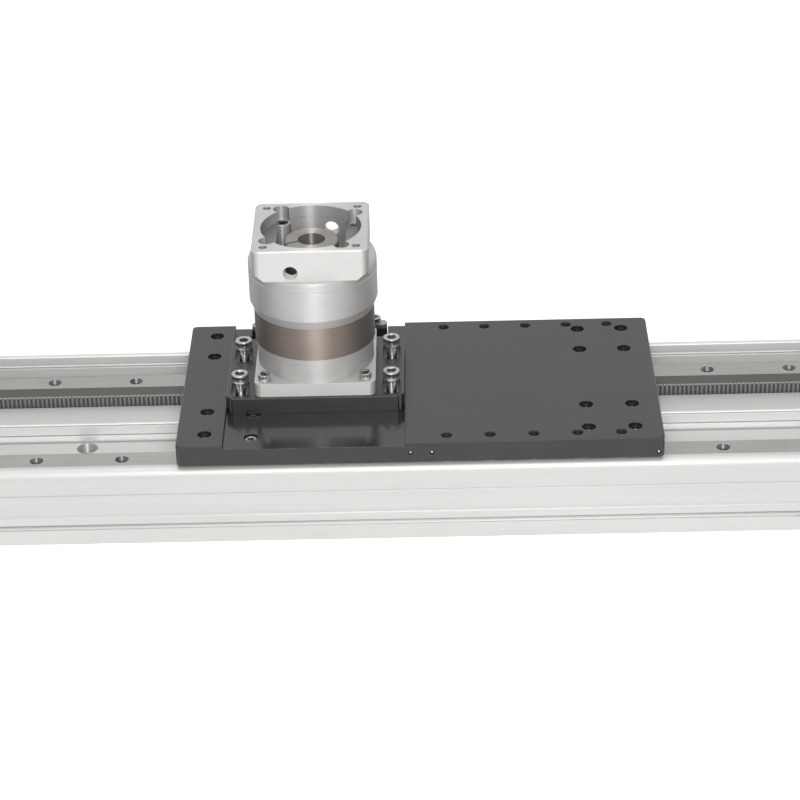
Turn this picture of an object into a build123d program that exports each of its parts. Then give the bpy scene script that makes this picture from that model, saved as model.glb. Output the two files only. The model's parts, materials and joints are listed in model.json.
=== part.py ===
from build123d import *
import math
import os

# Linear module: a carriage on two guide rails, driven by a pinion on a fixed rack
# through a planetary gearbox that waits for its motor. Sizes are in millimetres.
# Frame: x along the profile, z up, origin under the middle of the profile, rack on the +y side.

# Fits and clearances
thread_fit = 0.02
screw_play = 0.3
running_fit = 0.05
bearing_fit = 0.01
slide_play = 0.35
seal_play = 0.15
tooth_thinning = 0.08

# Extruded profile
profile_length = 780.0
foot_radius = 1.5
skirt_height = 22.2
skirt_step = 0.6
low_line_height = 12.2
low_line_size = 1.0
side_groove_height = 14.7
side_groove_size = 3.0
scribe_rise = 5.2
scribe_size = 0.6
wall_rise = 24.5
wall_thickness = 10.0
wall_gap = 12.5
wall_outer_radius = 6.0
wall_inner_radius = 1.0
wall_setback = 1.0
setback_drop = 6.9
inner_groove_drop = 8.5
inner_groove_size = 1.5
seat_height = 34.0
seat_web = 10.0
floor_web = 8.0
wall_web = 8.0
inner_web = 9.0
chamber_radius = 2.5

# Raised middle of the profile
middle_width = 25.1
middle_rise = 15.0
middle_web = 6.0
middle_edge = 0.8
top_line_inset = 1.5
top_line_size = 0.6
upper_line_drop = 1.9
upper_line_size = 1.0
lower_line_drop = 9.5
lower_line_size = 1.5

# Mounting holes of the profile, for M8 screws
mount_hole_radius = 4.5
mount_access_radius = 7.5
mount_hole_inset = 9.0
mount_pitch = 180.0
mount_count = 4

# Guide rails
rail_half_width = 10.0
rail_height = 15.5
rail_foot_height = 6.0
rail_waist_half_width = 8.6
rail_waist_low = 7.6
rail_waist_high = 9.2
rail_head_height = 10.8
rail_edge = 0.9
rail_pitch = 60.0
rail_hole_radius = 3.0
rail_counterbore_radius = 4.75
rail_counterbore_depth = 8.5

# Rack and pinion
rack_module = 1.0
rack_size = 15.0
rack_lap = 7.6
rack_end_gap = 0.5
shoulder_gap = 0.5
rack_screw_pitch = 60.0
rack_screw_web = 11.4
rack_thread_depth = 10.5
rack_channel_width = 14.0
pinion_teeth = 35
pinion_rise = 0.8
pinion_face = 15.2
pinion_hub_radius = 16.0
pinion_hub_height = 11.0
pressure_angle = math.radians(20)

# Guide blocks
block_half_spacing = 132.4
block_half_width = 21.0
block_rack_gap = 0.7
block_body_length = 48.1
block_clearance = 6.0
block_height = 28.0
block_edge = 1.2
block_screw_pitch = 32.0
block_thread_depth = 9.0
cap_length = 9.5
cap_inset = 0.5
seal_length = 1.0

# Carriage plate, with its centre where the carriage rests
rest_x = -31.2
plate_length = 335.0
plate_overhang = 11.5
plate_thickness = 15.0
plate_corner = 3.5
plate_edge = 0.5
recess_left = -135.5
recess_right = -10.3
recess_depth = 3.0
block_counterbore_radius = 4.9
block_counterbore_floor = 6.0
window_half_length = 38.0
window_reach_front = 36.3
window_rear_gap = 11.0
window_corner = 5.0
pocket_left = -123.8
pocket_right = -22.9
pocket_lap = 2.0
pocket_floor = 6.0
pattern_first_x = 18.3
pattern_pitch = 30.0
pattern_count = 5
pattern_inset = 9.0
pattern_hole_radius = 4.0
front_pin_radius = 1.5
front_pin_depth = 8.0
front_pin_places = [(-6.5, 6.5), (8.2, 6.5), (163.5, 3.3)]

# Cap screws: thread radius, head radius, head height, socket width over flats
m5 = (2.5, 4.25, 5.0, 4.0)
m6 = (3.0, 5.0, 6.0, 5.0)
m6_wide = (3.0, 6.0, 6.5, 6.0)
m8 = (4.0, 6.5, 8.0, 6.0)

# Adjuster at the rear of the plate
bar_depth = 8.5
bar_height = 8.8
bar_end_gap = 0.5
strip_height = 2.7
bar_screw_inset = 9.2
bar_screw_length = 16.0
jack_half_spacing = 25.0
jack_height = 4.2
jack_radius = 2.5
jack_rear_inset = 1.0
jack_tip_gap = 0.05
nut_across_flats = 8.0
nut_thickness = 4.0

# Adapter plate under the gearbox
gearbox_offset_x = -72.6
gearbox_y = 4.3
adapter_half_gap = 0.2
adapter_reach_front = 44.3
adapter_reach_rear = 46.7
adapter_thickness = 12.0
adapter_corner = 4.5
adapter_edge = 0.5
pilot_radius = 30.0
slot_offset_x = 53.1
slot_offset_y = 25.5
slot_half_width = 3.5
slot_head_half_width = 6.3
slot_reach_front = 15.0
slot_reach_rear = 9.0
slot_floor = 7.5
slot_ledge = 1.0
clamp_screw_length = 25.0
clamp_screw_lift = 4.0
lug_half_length = 30.0
lug_depth = 10.0
lug_height = 10.0

# Output housing
flange_half_width = 42.3
flange_thickness = 10.0
flange_corner = 4.5
pilot_height = 3.0
flange_screw_offset = 35.4
flange_screw_length = 18.0
housing_radius = 41.0
housing_lip_radius = 41.6
housing_lip_height = 4.0
housing_height = 18.0
seal_radius = 21.0
seal_thickness = 5.0

# Gearbox bearings
output_bearing_bore = 12.5
output_bearing_radius = 23.5
output_bearing_width = 12.0
input_bearing_bore = 15.0
input_bearing_radius = 27.5
input_bearing_width = 13.0
bearing_ring_thickness = 3.5

# Planetary stage
gear_module = 1.0
sun_teeth = 18
planet_teeth = 18
planet_count = 3
ring_radius = 42.3
ring_height = 24.0
ring_bore_radius = 28.5
ring_teeth_start = 6.0
ring_teeth_height = 14.0
gear_width = 12.0
gear_side_gap = 1.0
carrier_radius = 25.0
carrier_gap = 1.0
carrier_shoulder_radius = 15.5
carrier_disc_thickness = 5.0
carrier_top_thickness = 4.0
carrier_bore_radius = 11.5
post_radius = 5.0
post_circle_radius = 19.0
planet_pin_radius = 4.0
planet_pin_inset = 0.5
bush_radius = 5.5

# Output shaft
shaft_radius = 11.0
shaft_end_gap = 0.3
key_width = 6.0
key_height = 6.0
key_length = 18.0
key_depth = 3.5
key_play = 0.1
washer_radius = 12.8
washer_thickness = 2.6
pinion_counterbore_radius = 13.0
pinion_counterbore_depth = 4.2
pinion_screw_length = 16.0
pinion_screw_head_radius = 7.5
pinion_screw_head_height = 2.4

# Input housing and motor flange
taper_height = 7.0
upper_radius = 45.0
seam_edge = 0.3
input_housing_height = 28.7
input_bore_radius = 24.5
input_bearing_drop = 16.7
retaining_ring_thickness = 1.5
retaining_groove_depth = 1.2
motor_flange_height = 30.2
motor_round_height = 13.3
motor_shoulder_radius = 8.0
motor_half_width = 40.0
motor_square_rise = 7.4
motor_corner_radius = 5.0
motor_corner_cut = 51.2
motor_corner_slope = 0.73
motor_top_edge = 0.8
motor_hole_circle = 90.0
motor_hole_radius = 3.0
motor_hole_depth = 16.0
motor_pilot_radius = 35.0
motor_pilot_depth = 8.0
cavity_radius = 34.5
cavity_half_width = 24.0
tie_circle_radius = 37.0
tie_first_angle = 36.0
tie_pocket_radius = 5.5
tie_pocket_floor = 19.8
tie_boss_radius = 6.3
tie_head_depth = 5.2
tie_screw_length = 80.0
access_offset_x = 13.5
access_height = 13.7
access_radius = 5.0

# Clamp hub
hub_radius = 19.0
hub_height = 24.3
hub_bore_radius = 9.5
hub_bore_depth = 35.0
hub_slit_angle = 200.0
hub_slit_width = 2.0
hub_edge = 0.8
sun_neck_radius = 7.0
journal_length = 17.0
clamp_screw_head_y = -8.0
clamp_screw_reach = 16.0

# End plates and bumpers
end_plate_thickness = 12.0
end_plate_rise = 1.0
end_plate_edge = 2.0
end_screw_length = 25.0
end_screw_sink = 5.5
bumper_radius = 7.5
bumper_length = 12.0

# Places that follow from the sizes above
half_length = profile_length / 2
rail_top = seat_height + rail_height
wall_height = seat_height + wall_rise
setback_height = wall_height - setback_drop
inner_groove_height = wall_height - inner_groove_drop
scribe_height = seat_height + scribe_rise
middle_height = seat_height + middle_rise
plate_low = seat_height + block_height
plate_top = plate_low + plate_thickness
recess_floor = plate_top - recess_depth
gearbox_x = rest_x + gearbox_offset_x
pinion_pitch_radius = rack_module * pinion_teeth / 2
rack_pitch_y = gearbox_y + pinion_pitch_radius
rack_front = rack_pitch_y - rack_module
rack_back = rack_front + rack_size
rack_middle = (rack_front + rack_back) / 2
rail_y = rack_back + block_rack_gap + block_half_width
wall_inner = rail_y + rail_half_width + wall_gap
profile_half_width = wall_inner + wall_thickness
plate_width = 2 * (rail_y + block_half_width + plate_overhang)
rack_low = middle_height - rack_lap
rack_channel_top = rack_low - rack_screw_web
shoulder_y = rack_front - shoulder_gap
middle_front = shoulder_y - middle_width
mount_hole_y = middle_front - mount_hole_inset
adapter_low = recess_floor
adapter_top = adapter_low + adapter_thickness
adapter_left = rest_x + recess_left + adapter_half_gap
adapter_right = rest_x + recess_right - adapter_half_gap
adapter_front = gearbox_y - adapter_reach_front
adapter_rear = gearbox_y + adapter_reach_rear
window_front = gearbox_y - window_reach_front
window_rear = adapter_rear + window_rear_gap
pocket_front = window_rear - pocket_lap
pocket_z = plate_low + pocket_floor
block_seat_z = plate_low + block_counterbore_floor
flange_top = adapter_top + flange_thickness
housing_top = flange_top + housing_height
ring_top = housing_top + ring_height
gear_low = housing_top + ring_teeth_start + gear_side_gap
gear_high = gear_low + gear_width
carrier_distance = gear_module * (sun_teeth + planet_teeth) / 2
ring_teeth = sun_teeth + 2 * planet_teeth
bearing_low = housing_top - 2 * output_bearing_width
carrier_disc_low = housing_top + carrier_gap
carrier_top_low = housing_top + ring_teeth_start + ring_teeth_height
carrier_top = carrier_top_low + carrier_top_thickness
input_top = ring_top + input_housing_height
input_bearing_low = input_top - input_bearing_drop
input_bearing_high = input_bearing_low + input_bearing_width
flange_low = input_top
motor_top = flange_low + motor_flange_height
tie_floor = flange_low + tie_pocket_floor
tie_seat = tie_floor - tie_head_depth
hub_top = input_bearing_high + hub_height
pinion_bottom = middle_height + pinion_rise
pinion_top = pinion_bottom + pinion_face + pinion_hub_height
end_plate_height = plate_top + end_plate_rise
end_screw_wall_height = (seat_height + wall_height) / 2
end_screw_low_height = (floor_web + seat_height - seat_web) / 2
end_screw_low_y = rack_back + inner_web / 2
access_z = flange_low + access_height
mount_places = [mount_pitch * (i - (mount_count - 1) / 2) for i in range(mount_count)]
rail_hole_count = int((half_length - rail_counterbore_radius * 2) / rail_pitch)
rail_hole_places = [rail_pitch * i for i in range(-rail_hole_count, rail_hole_count + 1)]
rack_screw_count = int((half_length - rack_screw_pitch / 2) / rack_screw_pitch)
rack_screw_places = [rack_screw_pitch * (i + 0.5) for i in range(-rack_screw_count, rack_screw_count)]


def box_between(x0, x1, y0, y1, z0, z1):
    """A box between two corners."""
    return Pos((x0 + x1) / 2, (y0 + y1) / 2, (z0 + z1) / 2) * Box(x1 - x0, y1 - y0, z1 - z0)


def post(x, y, z0, z1, radius):
    """A cylinder along z."""
    return Pos(x, y, (z0 + z1) / 2) * Cylinder(radius, z1 - z0)


def bar_along_y(x, z, y0, y1, radius):
    """A cylinder along y."""
    return Pos(x, (y0 + y1) / 2, z) * Rot(90, 0, 0) * Cylinder(radius, y1 - y0)


def bar_along_x(y, z, x0, x1, radius):
    """A cylinder along x."""
    return Pos((x0 + x1) / 2, y, z) * Rot(0, 90, 0) * Cylinder(radius, x1 - x0)


def ring(x, y, z0, z1, outer, inner):
    """A plain ring around a z axis."""
    return post(x, y, z0, z1, outer) - post(x, y, z0, z1, inner)


def gearbox_post(z0, z1, radius, dx=0.0, dy=0.0):
    """A cylinder along z, placed from the gearbox axis."""
    return post(gearbox_x + dx, gearbox_y + dy, z0, z1, radius)


def plate_between(x0, x1, y0, y1, z0, z1, corner):
    """A plate with rounded upright corners."""
    outline = Pos((x0 + x1) / 2, (y0 + y1) / 2, z0) * RectangleRounded(x1 - x0, y1 - y0, corner)
    return extrude(outline, z1 - z0)


def slot_between(x, y0, y1, z0, z1, half_width):
    """An upright slot along y with round ends."""
    outline = Pos(x, (y0 + y1) / 2, z0) * SlotOverall(y1 - y0, 2 * half_width, rotation=90)
    return extrude(outline, z1 - z0)


def rounded_face(corners):
    """A closed outline through (a, b, radius) corners; a radius of 0 is a sharp corner."""
    points = [Vector(a, b) for a, b, radius in corners]
    edges = []
    ends = []
    for i, (a, b, radius) in enumerate(corners):
        here = points[i]
        back = (points[i - 1] - here).normalized()
        ahead = (points[(i + 1) % len(points)] - here).normalized()
        if radius == 0:
            ends.append((here, here))
            continue
        half_angle = math.radians(back.get_angle(ahead)) / 2
        trim = radius / math.tan(half_angle)
        start = here + back * trim
        finish = here + ahead * trim
        centre = here + (back + ahead).normalized() * (radius / math.sin(half_angle))
        middle = centre + (here - centre).normalized() * radius
        edges.append(ThreePointArc(start, middle, finish))
        ends.append((start, finish))
    for i in range(len(ends)):
        edges.append(Line(ends[i - 1][1], ends[i][0]))
    return make_face(edges)


def notch_up(face, height, size):
    """Three corners of a v groove on an upright face, from below; the groove goes towards the middle."""
    half = size / 2
    return [(face, height - half, 0), (face - half, height, 0), (face, height + half, 0)]


def mirrored(corners):
    """The same corners on the other side of the middle, in reverse order."""
    return [(-a, b, radius) for a, b, radius in reversed(corners)]


def extrude_along_x(face, x0, x1):
    """A section drawn in y and z, extruded from x0 to x1."""
    return extrude(Pos(x0, 0, 0) * (Plane.YZ * face), x1 - x0)


def cap_screw(size, length, with_socket=False):
    """A cap screw along z: its head stands on z = 0 and its shank goes down."""
    radius, head_radius, head_height, socket = size
    screw = post(0, 0, -length, 0, radius) + post(0, 0, 0, head_height, head_radius)
    if with_socket:
        screw = chamfer(screw.edges().group_by(Axis.Z)[-1], head_radius / 10)
        hexagon = Pos(0, 0, head_height / 2) * RegularPolygon(socket / 2, 6, major_radius=False)
        screw = screw - extrude(hexagon, head_height)
    return screw


def involute(angle):
    return math.tan(angle) - angle


def polar(radius, angle):
    return Vector(radius * math.cos(angle), radius * math.sin(angle))


def gear_face(module, teeth, thinning, first_angle, internal=False):
    """Outline of a spur gear; for an internal gear it is the shape of the opening."""
    pitch_radius = module * teeth / 2
    base_radius = pitch_radius * math.cos(pressure_angle)
    low_radius = pitch_radius - (module if internal else 1.25 * module)
    high_radius = pitch_radius + (1.25 * module if internal else module)
    start_radius = max(low_radius, base_radius)
    middle_radius = (start_radius + high_radius) / 2
    side = -1 if internal else 1

    def half_angle(radius):
        local = math.acos(min(1.0, base_radius / radius))
        tooth = math.pi / (2 * teeth) - side * thinning / (2 * pitch_radius)
        return tooth + involute(pressure_angle) - involute(local)

    low, middle, high = [half_angle(r) for r in (start_radius, middle_radius, high_radius)]
    step = 2 * math.pi / teeth
    edges = []
    for i in range(teeth):
        here = first_angle + i * step
        rising = [polar(start_radius, here - low), polar(middle_radius, here - middle)]
        rising.append(polar(high_radius, here - high))
        falling = [polar(high_radius, here + high), polar(middle_radius, here + middle)]
        falling.append(polar(start_radius, here + low))
        edges.append(ThreePointArc(*rising))
        edges.append(Line(rising[2], falling[0]))
        edges.append(ThreePointArc(*falling))
        following = polar(start_radius, here + step - low)
        if start_radius > low_radius:
            root_start = polar(low_radius, here + low)
            root_end = polar(low_radius, here + step - low)
            edges.append(Line(falling[2], root_start))
            edges.append(Line(root_start, root_end))
            edges.append(Line(root_end, following))
        else:
            edges.append(Line(falling[2], following))
    return make_face(edges)


# Base: profile, rails and rack


def side_wall_corners():
    """Outer face, top and inner face of a side wall, from the foot to the rail seat."""
    outer = profile_half_width
    upper = outer - skirt_step
    inner = wall_inner + wall_setback
    half = inner_groove_size / 2
    return [
        (outer, 0, foot_radius),
        *notch_up(outer, low_line_height, low_line_size),
        *notch_up(outer, side_groove_height, side_groove_size),
        (outer, skirt_height - skirt_step, 0),
        (upper, skirt_height, 0),
        *notch_up(upper, scribe_height, scribe_size),
        (upper, wall_height, wall_outer_radius),
        (inner, wall_height, wall_inner_radius),
        (inner, setback_height, 0),
        (wall_inner, setback_height - wall_setback / 2, 0),
        (wall_inner, inner_groove_height + half, 0),
        (wall_inner + half, inner_groove_height, 0),
        (wall_inner, inner_groove_height - half, 0),
        (wall_inner, seat_height, 0),
    ]


def middle_corners():
    """The raised middle with its rack ledge, from the rear to the front."""
    front = middle_front
    top = middle_height
    line_y = front + top_line_inset
    return [
        (rack_back, seat_height, 0),
        (rack_back, rack_low, 0),
        (shoulder_y, rack_low, 0),
        (shoulder_y, top, 0),
        (line_y + top_line_size / 2, top, 0),
        (line_y, top - top_line_size / 2, 0),
        (line_y - top_line_size / 2, top, 0),
        (front + middle_edge, top, 0),
        (front, top - middle_edge, 0),
        (front, top - upper_line_drop + upper_line_size / 2, 0),
        (front + upper_line_size / 2, top - upper_line_drop, 0),
        (front, top - upper_line_drop - upper_line_size / 2, 0),
        (front, top - lower_line_drop + lower_line_size / 2, 0),
        (front + lower_line_size / 2, top - lower_line_drop, 0),
        (front, top - lower_line_drop - lower_line_size / 2, 0),
        (front, seat_height, 0),
    ]


def channel_corners():
    """The channel in the underside that reaches the screws of the rack, from front to rear."""
    low = rack_middle - rack_channel_width / 2
    high = rack_middle + rack_channel_width / 2
    return [(low, 0, 0), (low, rack_channel_top, 0), (high, rack_channel_top, 0), (high, 0, 0)]


def chamber(y0, y1, z0, z1):
    """A closed chamber of the section."""
    return Pos((y0 + y1) / 2, (z0 + z1) / 2) * RectangleRounded(y1 - y0, z1 - z0, chamber_radius)


def base_profile():
    wall = side_wall_corners()
    section = rounded_face(wall + middle_corners() + mirrored(wall) + channel_corners())
    web_low = end_screw_low_y - inner_web / 2
    web_high = end_screw_low_y + inner_web / 2
    outer = profile_half_width - wall_web
    top = seat_height - seat_web
    middle_top = middle_height - middle_web
    channel_wall = rack_middle - rack_channel_width / 2 - middle_web
    section = section - chamber(web_high, outer, floor_web, top)
    section = section - chamber(-outer, -web_high, floor_web, top)
    section = section - chamber(-web_low, middle_front, floor_web, top)
    section = section - chamber(middle_front + middle_web, channel_wall, floor_web, middle_top)
    solid = extrude_along_x(section, -half_length, half_length)
    holes = []
    for x in mount_places:
        holes.append(post(x, mount_hole_y, -1, floor_web + 1, mount_hole_radius))
        holes.append(post(x, mount_hole_y, top - 1, seat_height + 1, mount_access_radius))
    for x in rail_hole_places:
        for y in (-rail_y, rail_y):
            holes.append(post(x, y, top - 1, seat_height + 1, m5[0] + thread_fit))
    for x in rack_screw_places:
        holes.append(post(x, rack_middle, rack_channel_top - 1, rack_low + 1, m5[0] + screw_play))
    for y, z in end_screw_places():
        depth = end_screw_length - end_plate_thickness + end_screw_sink + 2
        holes.append(bar_along_x(y, z, -half_length - 1, -half_length + depth, m5[0] + thread_fit))
        holes.append(bar_along_x(y, z, half_length - depth, half_length + 1, m5[0] + thread_fit))
    return solid - holes


def rail_corners():
    """Half of the rail's section, from its foot to its top, measured from the seat."""
    return [
        (rail_half_width, 0, 0),
        (rail_half_width, rail_foot_height, 0),
        (rail_waist_half_width, rail_waist_low, 0),
        (rail_waist_half_width, rail_waist_high, 0),
        (rail_half_width, rail_head_height, 0),
        (rail_half_width, rail_height - rail_edge, 0),
        (rail_half_width - rail_edge, rail_height, 0),
    ]


def rail(y):
    half = rail_corners()
    section = Pos(y, seat_height) * rounded_face(half + mirrored(half))
    solid = extrude_along_x(section, -half_length, half_length)
    holes = []
    for x in rail_hole_places:
        holes.append(post(x, y, seat_height - 1, rail_top + 1, rail_hole_radius))
        holes.append(post(x, y, rail_top - rail_counterbore_depth, rail_top + 1, rail_counterbore_radius))
    return solid - holes


def rail_screws():
    """Cap screws of both rails, into the seat web."""
    seat = rail_top - rail_counterbore_depth
    length = seat - seat_height + seat_web - 1
    one = cap_screw(m5, length)
    return [Pos(x, y, seat) * one for y in (-rail_y, rail_y) for x in rail_hole_places]


def rack():
    """A straight rack with its teeth towards the pinion and a tooth gap at the pinion's axis."""
    pitch = math.pi * rack_module
    slope = math.tan(pressure_angle)
    tip_y = rack_front
    root_y = rack_pitch_y + 1.25 * rack_module
    half_gap = pitch / 4 + tooth_thinning / 2
    tip_half = half_gap + rack_module * slope
    root_half = half_gap - 1.25 * rack_module * slope
    low = -half_length + rack_end_gap
    high = half_length - rack_end_gap
    first = math.ceil((low + pitch - gearbox_x) / pitch)
    last = math.floor((high - pitch - gearbox_x) / pitch)
    points = [(low, rack_back), (low, tip_y)]
    for i in range(first, last + 1):
        x = gearbox_x + i * pitch
        points.append((x - tip_half, tip_y))
        points.append((x - root_half, root_y))
        points.append((x + root_half, root_y))
        points.append((x + tip_half, tip_y))
    points.append((high, tip_y))
    points.append((high, rack_back))
    outline = make_face(Polyline(*points, close=True))
    solid = extrude(Pos(0, 0, rack_low) * outline, rack_size)
    depth = rack_low + rack_thread_depth
    holes = [post(x, rack_middle, rack_low - 1, depth, m5[0] + thread_fit) for x in rack_screw_places]
    return solid - holes


def rack_screws():
    """Cap screws from the channel up into the rack."""
    length = rack_screw_web + rack_thread_depth - 1
    one = Rot(180, 0, 0) * cap_screw(m5, length)
    return [Pos(x, rack_middle, rack_channel_top) * one for x in rack_screw_places]


# Ends of the base


def end_screw_places():
    """Places of the end plate's screws as (y, z)."""
    wall_y = (wall_inner + profile_half_width - skirt_step) / 2
    high = [(side * wall_y, end_screw_wall_height) for side in (-1, 1)]
    low = [(side * end_screw_low_y, end_screw_low_height) for side in (-1, 1)]
    return high + low


def end_plate(side):
    """An end plate that closes the profile; side is -1 on the left and 1 on the right."""
    inner = side * half_length
    outer = side * (half_length + end_plate_thickness)
    x0, x1 = min(inner, outer), max(inner, outer)
    corners = [
        (-profile_half_width, 0, end_plate_edge),
        (profile_half_width, 0, end_plate_edge),
        (profile_half_width, end_plate_height, wall_outer_radius),
        (-profile_half_width, end_plate_height, wall_outer_radius),
    ]
    solid = extrude_along_x(rounded_face(corners), x0, x1)
    seat = outer - side * end_screw_sink
    holes = []
    for y, z in end_screw_places():
        holes.append(bar_along_x(y, z, x0 - 1, x1 + 1, m5[0] + screw_play))
        holes.append(bar_along_x(y, z, *sorted((seat, outer + side)), m5[1] + screw_play))
    return solid - holes


def end_plate_screws():
    screws = []
    for side in (-1, 1):
        seat = side * (half_length + end_plate_thickness - end_screw_sink)
        for y, z in end_screw_places():
            screws.append(Pos(seat, y, z) * Rot(0, 90 * side, 0) * cap_screw(m5, end_screw_length))
    return screws


def bumper_height():
    return (plate_low + plate_top) / 2


def stop_bumpers():
    """Rubber bumpers on the end plates, in line with the carriage plate."""
    bumpers = []
    for side in (-1, 1):
        for y in (-rail_y, rail_y):
            face = side * half_length
            x0, x1 = sorted((face, face - side * bumper_length))
            bumpers.append(bar_along_x(y, bumper_height(), x0, x1, bumper_radius))
    return bumpers


# Carriage: blocks, plate and adjuster


def block_section(y, inset, play):
    """Section of a guide block around its rail; inset trims the outside, play opens the channel."""
    low = block_clearance + inset
    high = block_height - inset
    wide = block_half_width - inset
    half = [
        (rail_half_width + play, low, 0),
        (wide - block_edge, low, 0),
        (wide, low + block_edge, 0),
        (wide, high - block_edge, 0),
        (wide - block_edge, high, 0),
    ]
    inner = [
        (rail_half_width + play, rail_height + play, 0),
        (rail_half_width + play, rail_head_height + play, 0),
        (rail_waist_half_width + play, rail_waist_high + play, 0),
        (rail_waist_half_width + play, rail_waist_low + play / 2, 0),
    ]
    return Pos(y, seat_height) * rounded_face(inner + half + mirrored(half) + mirrored(inner))


def block_body(x, y):
    section = block_section(y, 0, slide_play)
    solid = extrude_along_x(section, x - block_body_length / 2, x + block_body_length / 2)
    depth = plate_low - block_thread_depth
    half = block_screw_pitch / 2
    for dx in (-half, half):
        for dy in (-half, half):
            solid = solid - post(x + dx, y + dy, depth, plate_low + 1, m5[0] + thread_fit)
    return solid


def block_caps(x, y):
    """Both plastic end caps of one guide block."""
    section = block_section(y, cap_inset, slide_play)
    start = block_body_length / 2
    left = extrude_along_x(section, x - start - cap_length, x - start)
    right = extrude_along_x(section, x + start, x + start + cap_length)
    return [left, right]


def block_seals(x, y):
    """Both wiper seals of one guide block."""
    section = block_section(y, 2 * cap_inset, seal_play)
    start = block_body_length / 2 + cap_length
    left = extrude_along_x(section, x - start - seal_length, x - start)
    right = extrude_along_x(section, x + start, x + start + seal_length)
    return [left, right]


def block_places():
    """Centre of each guide block: name, x and y."""
    left = rest_x - block_half_spacing
    right = rest_x + block_half_spacing
    return [
        ("front_left", left, -rail_y),
        ("front_right", right, -rail_y),
        ("rear_left", left, rail_y),
        ("rear_right", right, rail_y),
    ]


def block_screw_places():
    half = block_screw_pitch / 2
    places = []
    for name, x, y in block_places():
        for dx in (-half, half):
            for dy in (-half, half):
                places.append((x + dx, y + dy))
    return places


def pattern_places():
    """The tapped holes on the right part of the plate."""
    places = []
    for i in range(pattern_count):
        for y in (pattern_inset - plate_width / 2, plate_width / 2 - pattern_inset):
            places.append((rest_x + pattern_first_x + i * pattern_pitch, y))
    return places


def clamp_screw_places():
    """Axes of the screws that clamp the adapter to the plate."""
    places = []
    for dx in (-slot_offset_x, slot_offset_x):
        for dy in (-slot_offset_y, slot_offset_y):
            places.append((gearbox_x + dx, gearbox_y + dy))
    return places


def bar_screw_places():
    left = rest_x + pocket_left + bar_screw_inset
    right = rest_x + pocket_right - bar_screw_inset
    return [(left, plate_width / 2 - bar_depth / 2), (right, plate_width / 2 - bar_depth / 2)]


def carriage_plate():
    half = plate_width / 2
    left = rest_x - plate_length / 2
    right = rest_x + plate_length / 2
    over = plate_top + 1
    under = plate_low - 1
    solid = plate_between(left, right, -half, half, plate_low, plate_top, plate_corner)
    solid = chamfer(solid.edges().group_by(Axis.Z)[-1], plate_edge)
    recess_x0 = rest_x + recess_left
    recess_x1 = rest_x + recess_right
    cuts = [box_between(recess_x0, recess_x1, -half - 1, half + 1, recess_floor, over)]
    window_x0 = gearbox_x - window_half_length
    window_x1 = gearbox_x + window_half_length
    cuts.append(plate_between(window_x0, window_x1, window_front, window_rear, under, over, window_corner))
    pocket_x0 = rest_x + pocket_left
    pocket_x1 = rest_x + pocket_right
    cuts.append(box_between(pocket_x0, pocket_x1, pocket_front, half + 1, pocket_z, over))
    for x, y in block_screw_places():
        cuts.append(post(x, y, under, over, m5[0] + screw_play))
        cuts.append(post(x, y, block_seat_z, over, block_counterbore_radius))
    for x, y in pattern_places():
        cuts.append(post(x, y, under, over, pattern_hole_radius))
    for x, y in clamp_screw_places():
        cuts.append(post(x, y, under, over, m6_wide[0] + thread_fit))
    for x, y in bar_screw_places():
        cuts.append(post(x, y, under, over, m5[0] + thread_fit))
    for x, z in front_pin_places:
        depth = front_pin_depth - half
        cuts.append(bar_along_y(rest_x + x, plate_low + z, -half - 1, depth, front_pin_radius))
    return solid - cuts


def block_screws():
    """Cap screws from the plate into the guide blocks."""
    length = block_counterbore_floor + block_thread_depth - 1
    one = cap_screw(m5, length)
    return [Pos(x, y, block_seat_z) * one for x, y in block_screw_places()]


def clamp_screws():
    """Screws in the adapter's slots, standing loose above their seats."""
    one = cap_screw(m6_wide, clamp_screw_length, with_socket=True)
    return [Pos(x, y, adapter_top + clamp_screw_lift) * one for x, y in clamp_screw_places()]


def jack_z():
    return pocket_z + jack_height


def bar_ends():
    return rest_x + pocket_left + bar_end_gap, rest_x + pocket_right - bar_end_gap


def adjuster_bar():
    rear = plate_width / 2
    x0, x1 = bar_ends()
    solid = box_between(x0, x1, rear - bar_depth, rear, pocket_z, pocket_z + bar_height)
    cuts = []
    for x, y in bar_screw_places():
        cuts.append(post(x, y, pocket_z - 1, pocket_z + bar_height + 1, m5[0] + screw_play))
    for dx in (-jack_half_spacing, jack_half_spacing):
        x = gearbox_x + dx
        cuts.append(bar_along_y(x, jack_z(), rear - bar_depth - 1, rear + 1, jack_radius + thread_fit))
    return solid - cuts


def adjuster_strip():
    """The light strip on the bar, with round ends."""
    rear = plate_width / 2
    x0, x1 = bar_ends()
    low = pocket_z + bar_height
    half = bar_depth / 2
    solid = plate_between(x0, x1, rear - bar_depth, rear, low, low + strip_height, half - running_fit)
    for x, y in bar_screw_places():
        solid = solid - post(x, y, low - 1, low + strip_height + 1, m5[0] + screw_play)
    return solid


def adjuster_bar_screws():
    seat = pocket_z + bar_height + strip_height
    one = cap_screw(m5, bar_screw_length, with_socket=True)
    return [Pos(x, y, seat) * one for x, y in bar_screw_places()]


def jack_screws():
    """Grub screws through the bar, with their tips at the adapter."""
    screws = []
    rear = plate_width / 2 - jack_rear_inset
    front = adapter_rear + jack_tip_gap
    for dx in (-jack_half_spacing, jack_half_spacing):
        screws.append(bar_along_y(gearbox_x + dx, jack_z(), front, rear, jack_radius))
    return screws


def jack_nuts():
    """Lock nuts on the jack screws, against the front of the bar."""
    nuts = []
    face = plate_width / 2 - bar_depth
    for dx in (-jack_half_spacing, jack_half_spacing):
        hexagon = RegularPolygon(nut_across_flats / 2, 6, major_radius=False)
        body = extrude(hexagon, nut_thickness) - Cylinder(jack_radius + thread_fit, 3 * nut_thickness)
        nuts.append(Pos(gearbox_x + dx, face, jack_z()) * Rot(90, 0, 0) * body)
    return nuts


# Gearbox: adapter, housings and motor flange


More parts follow.
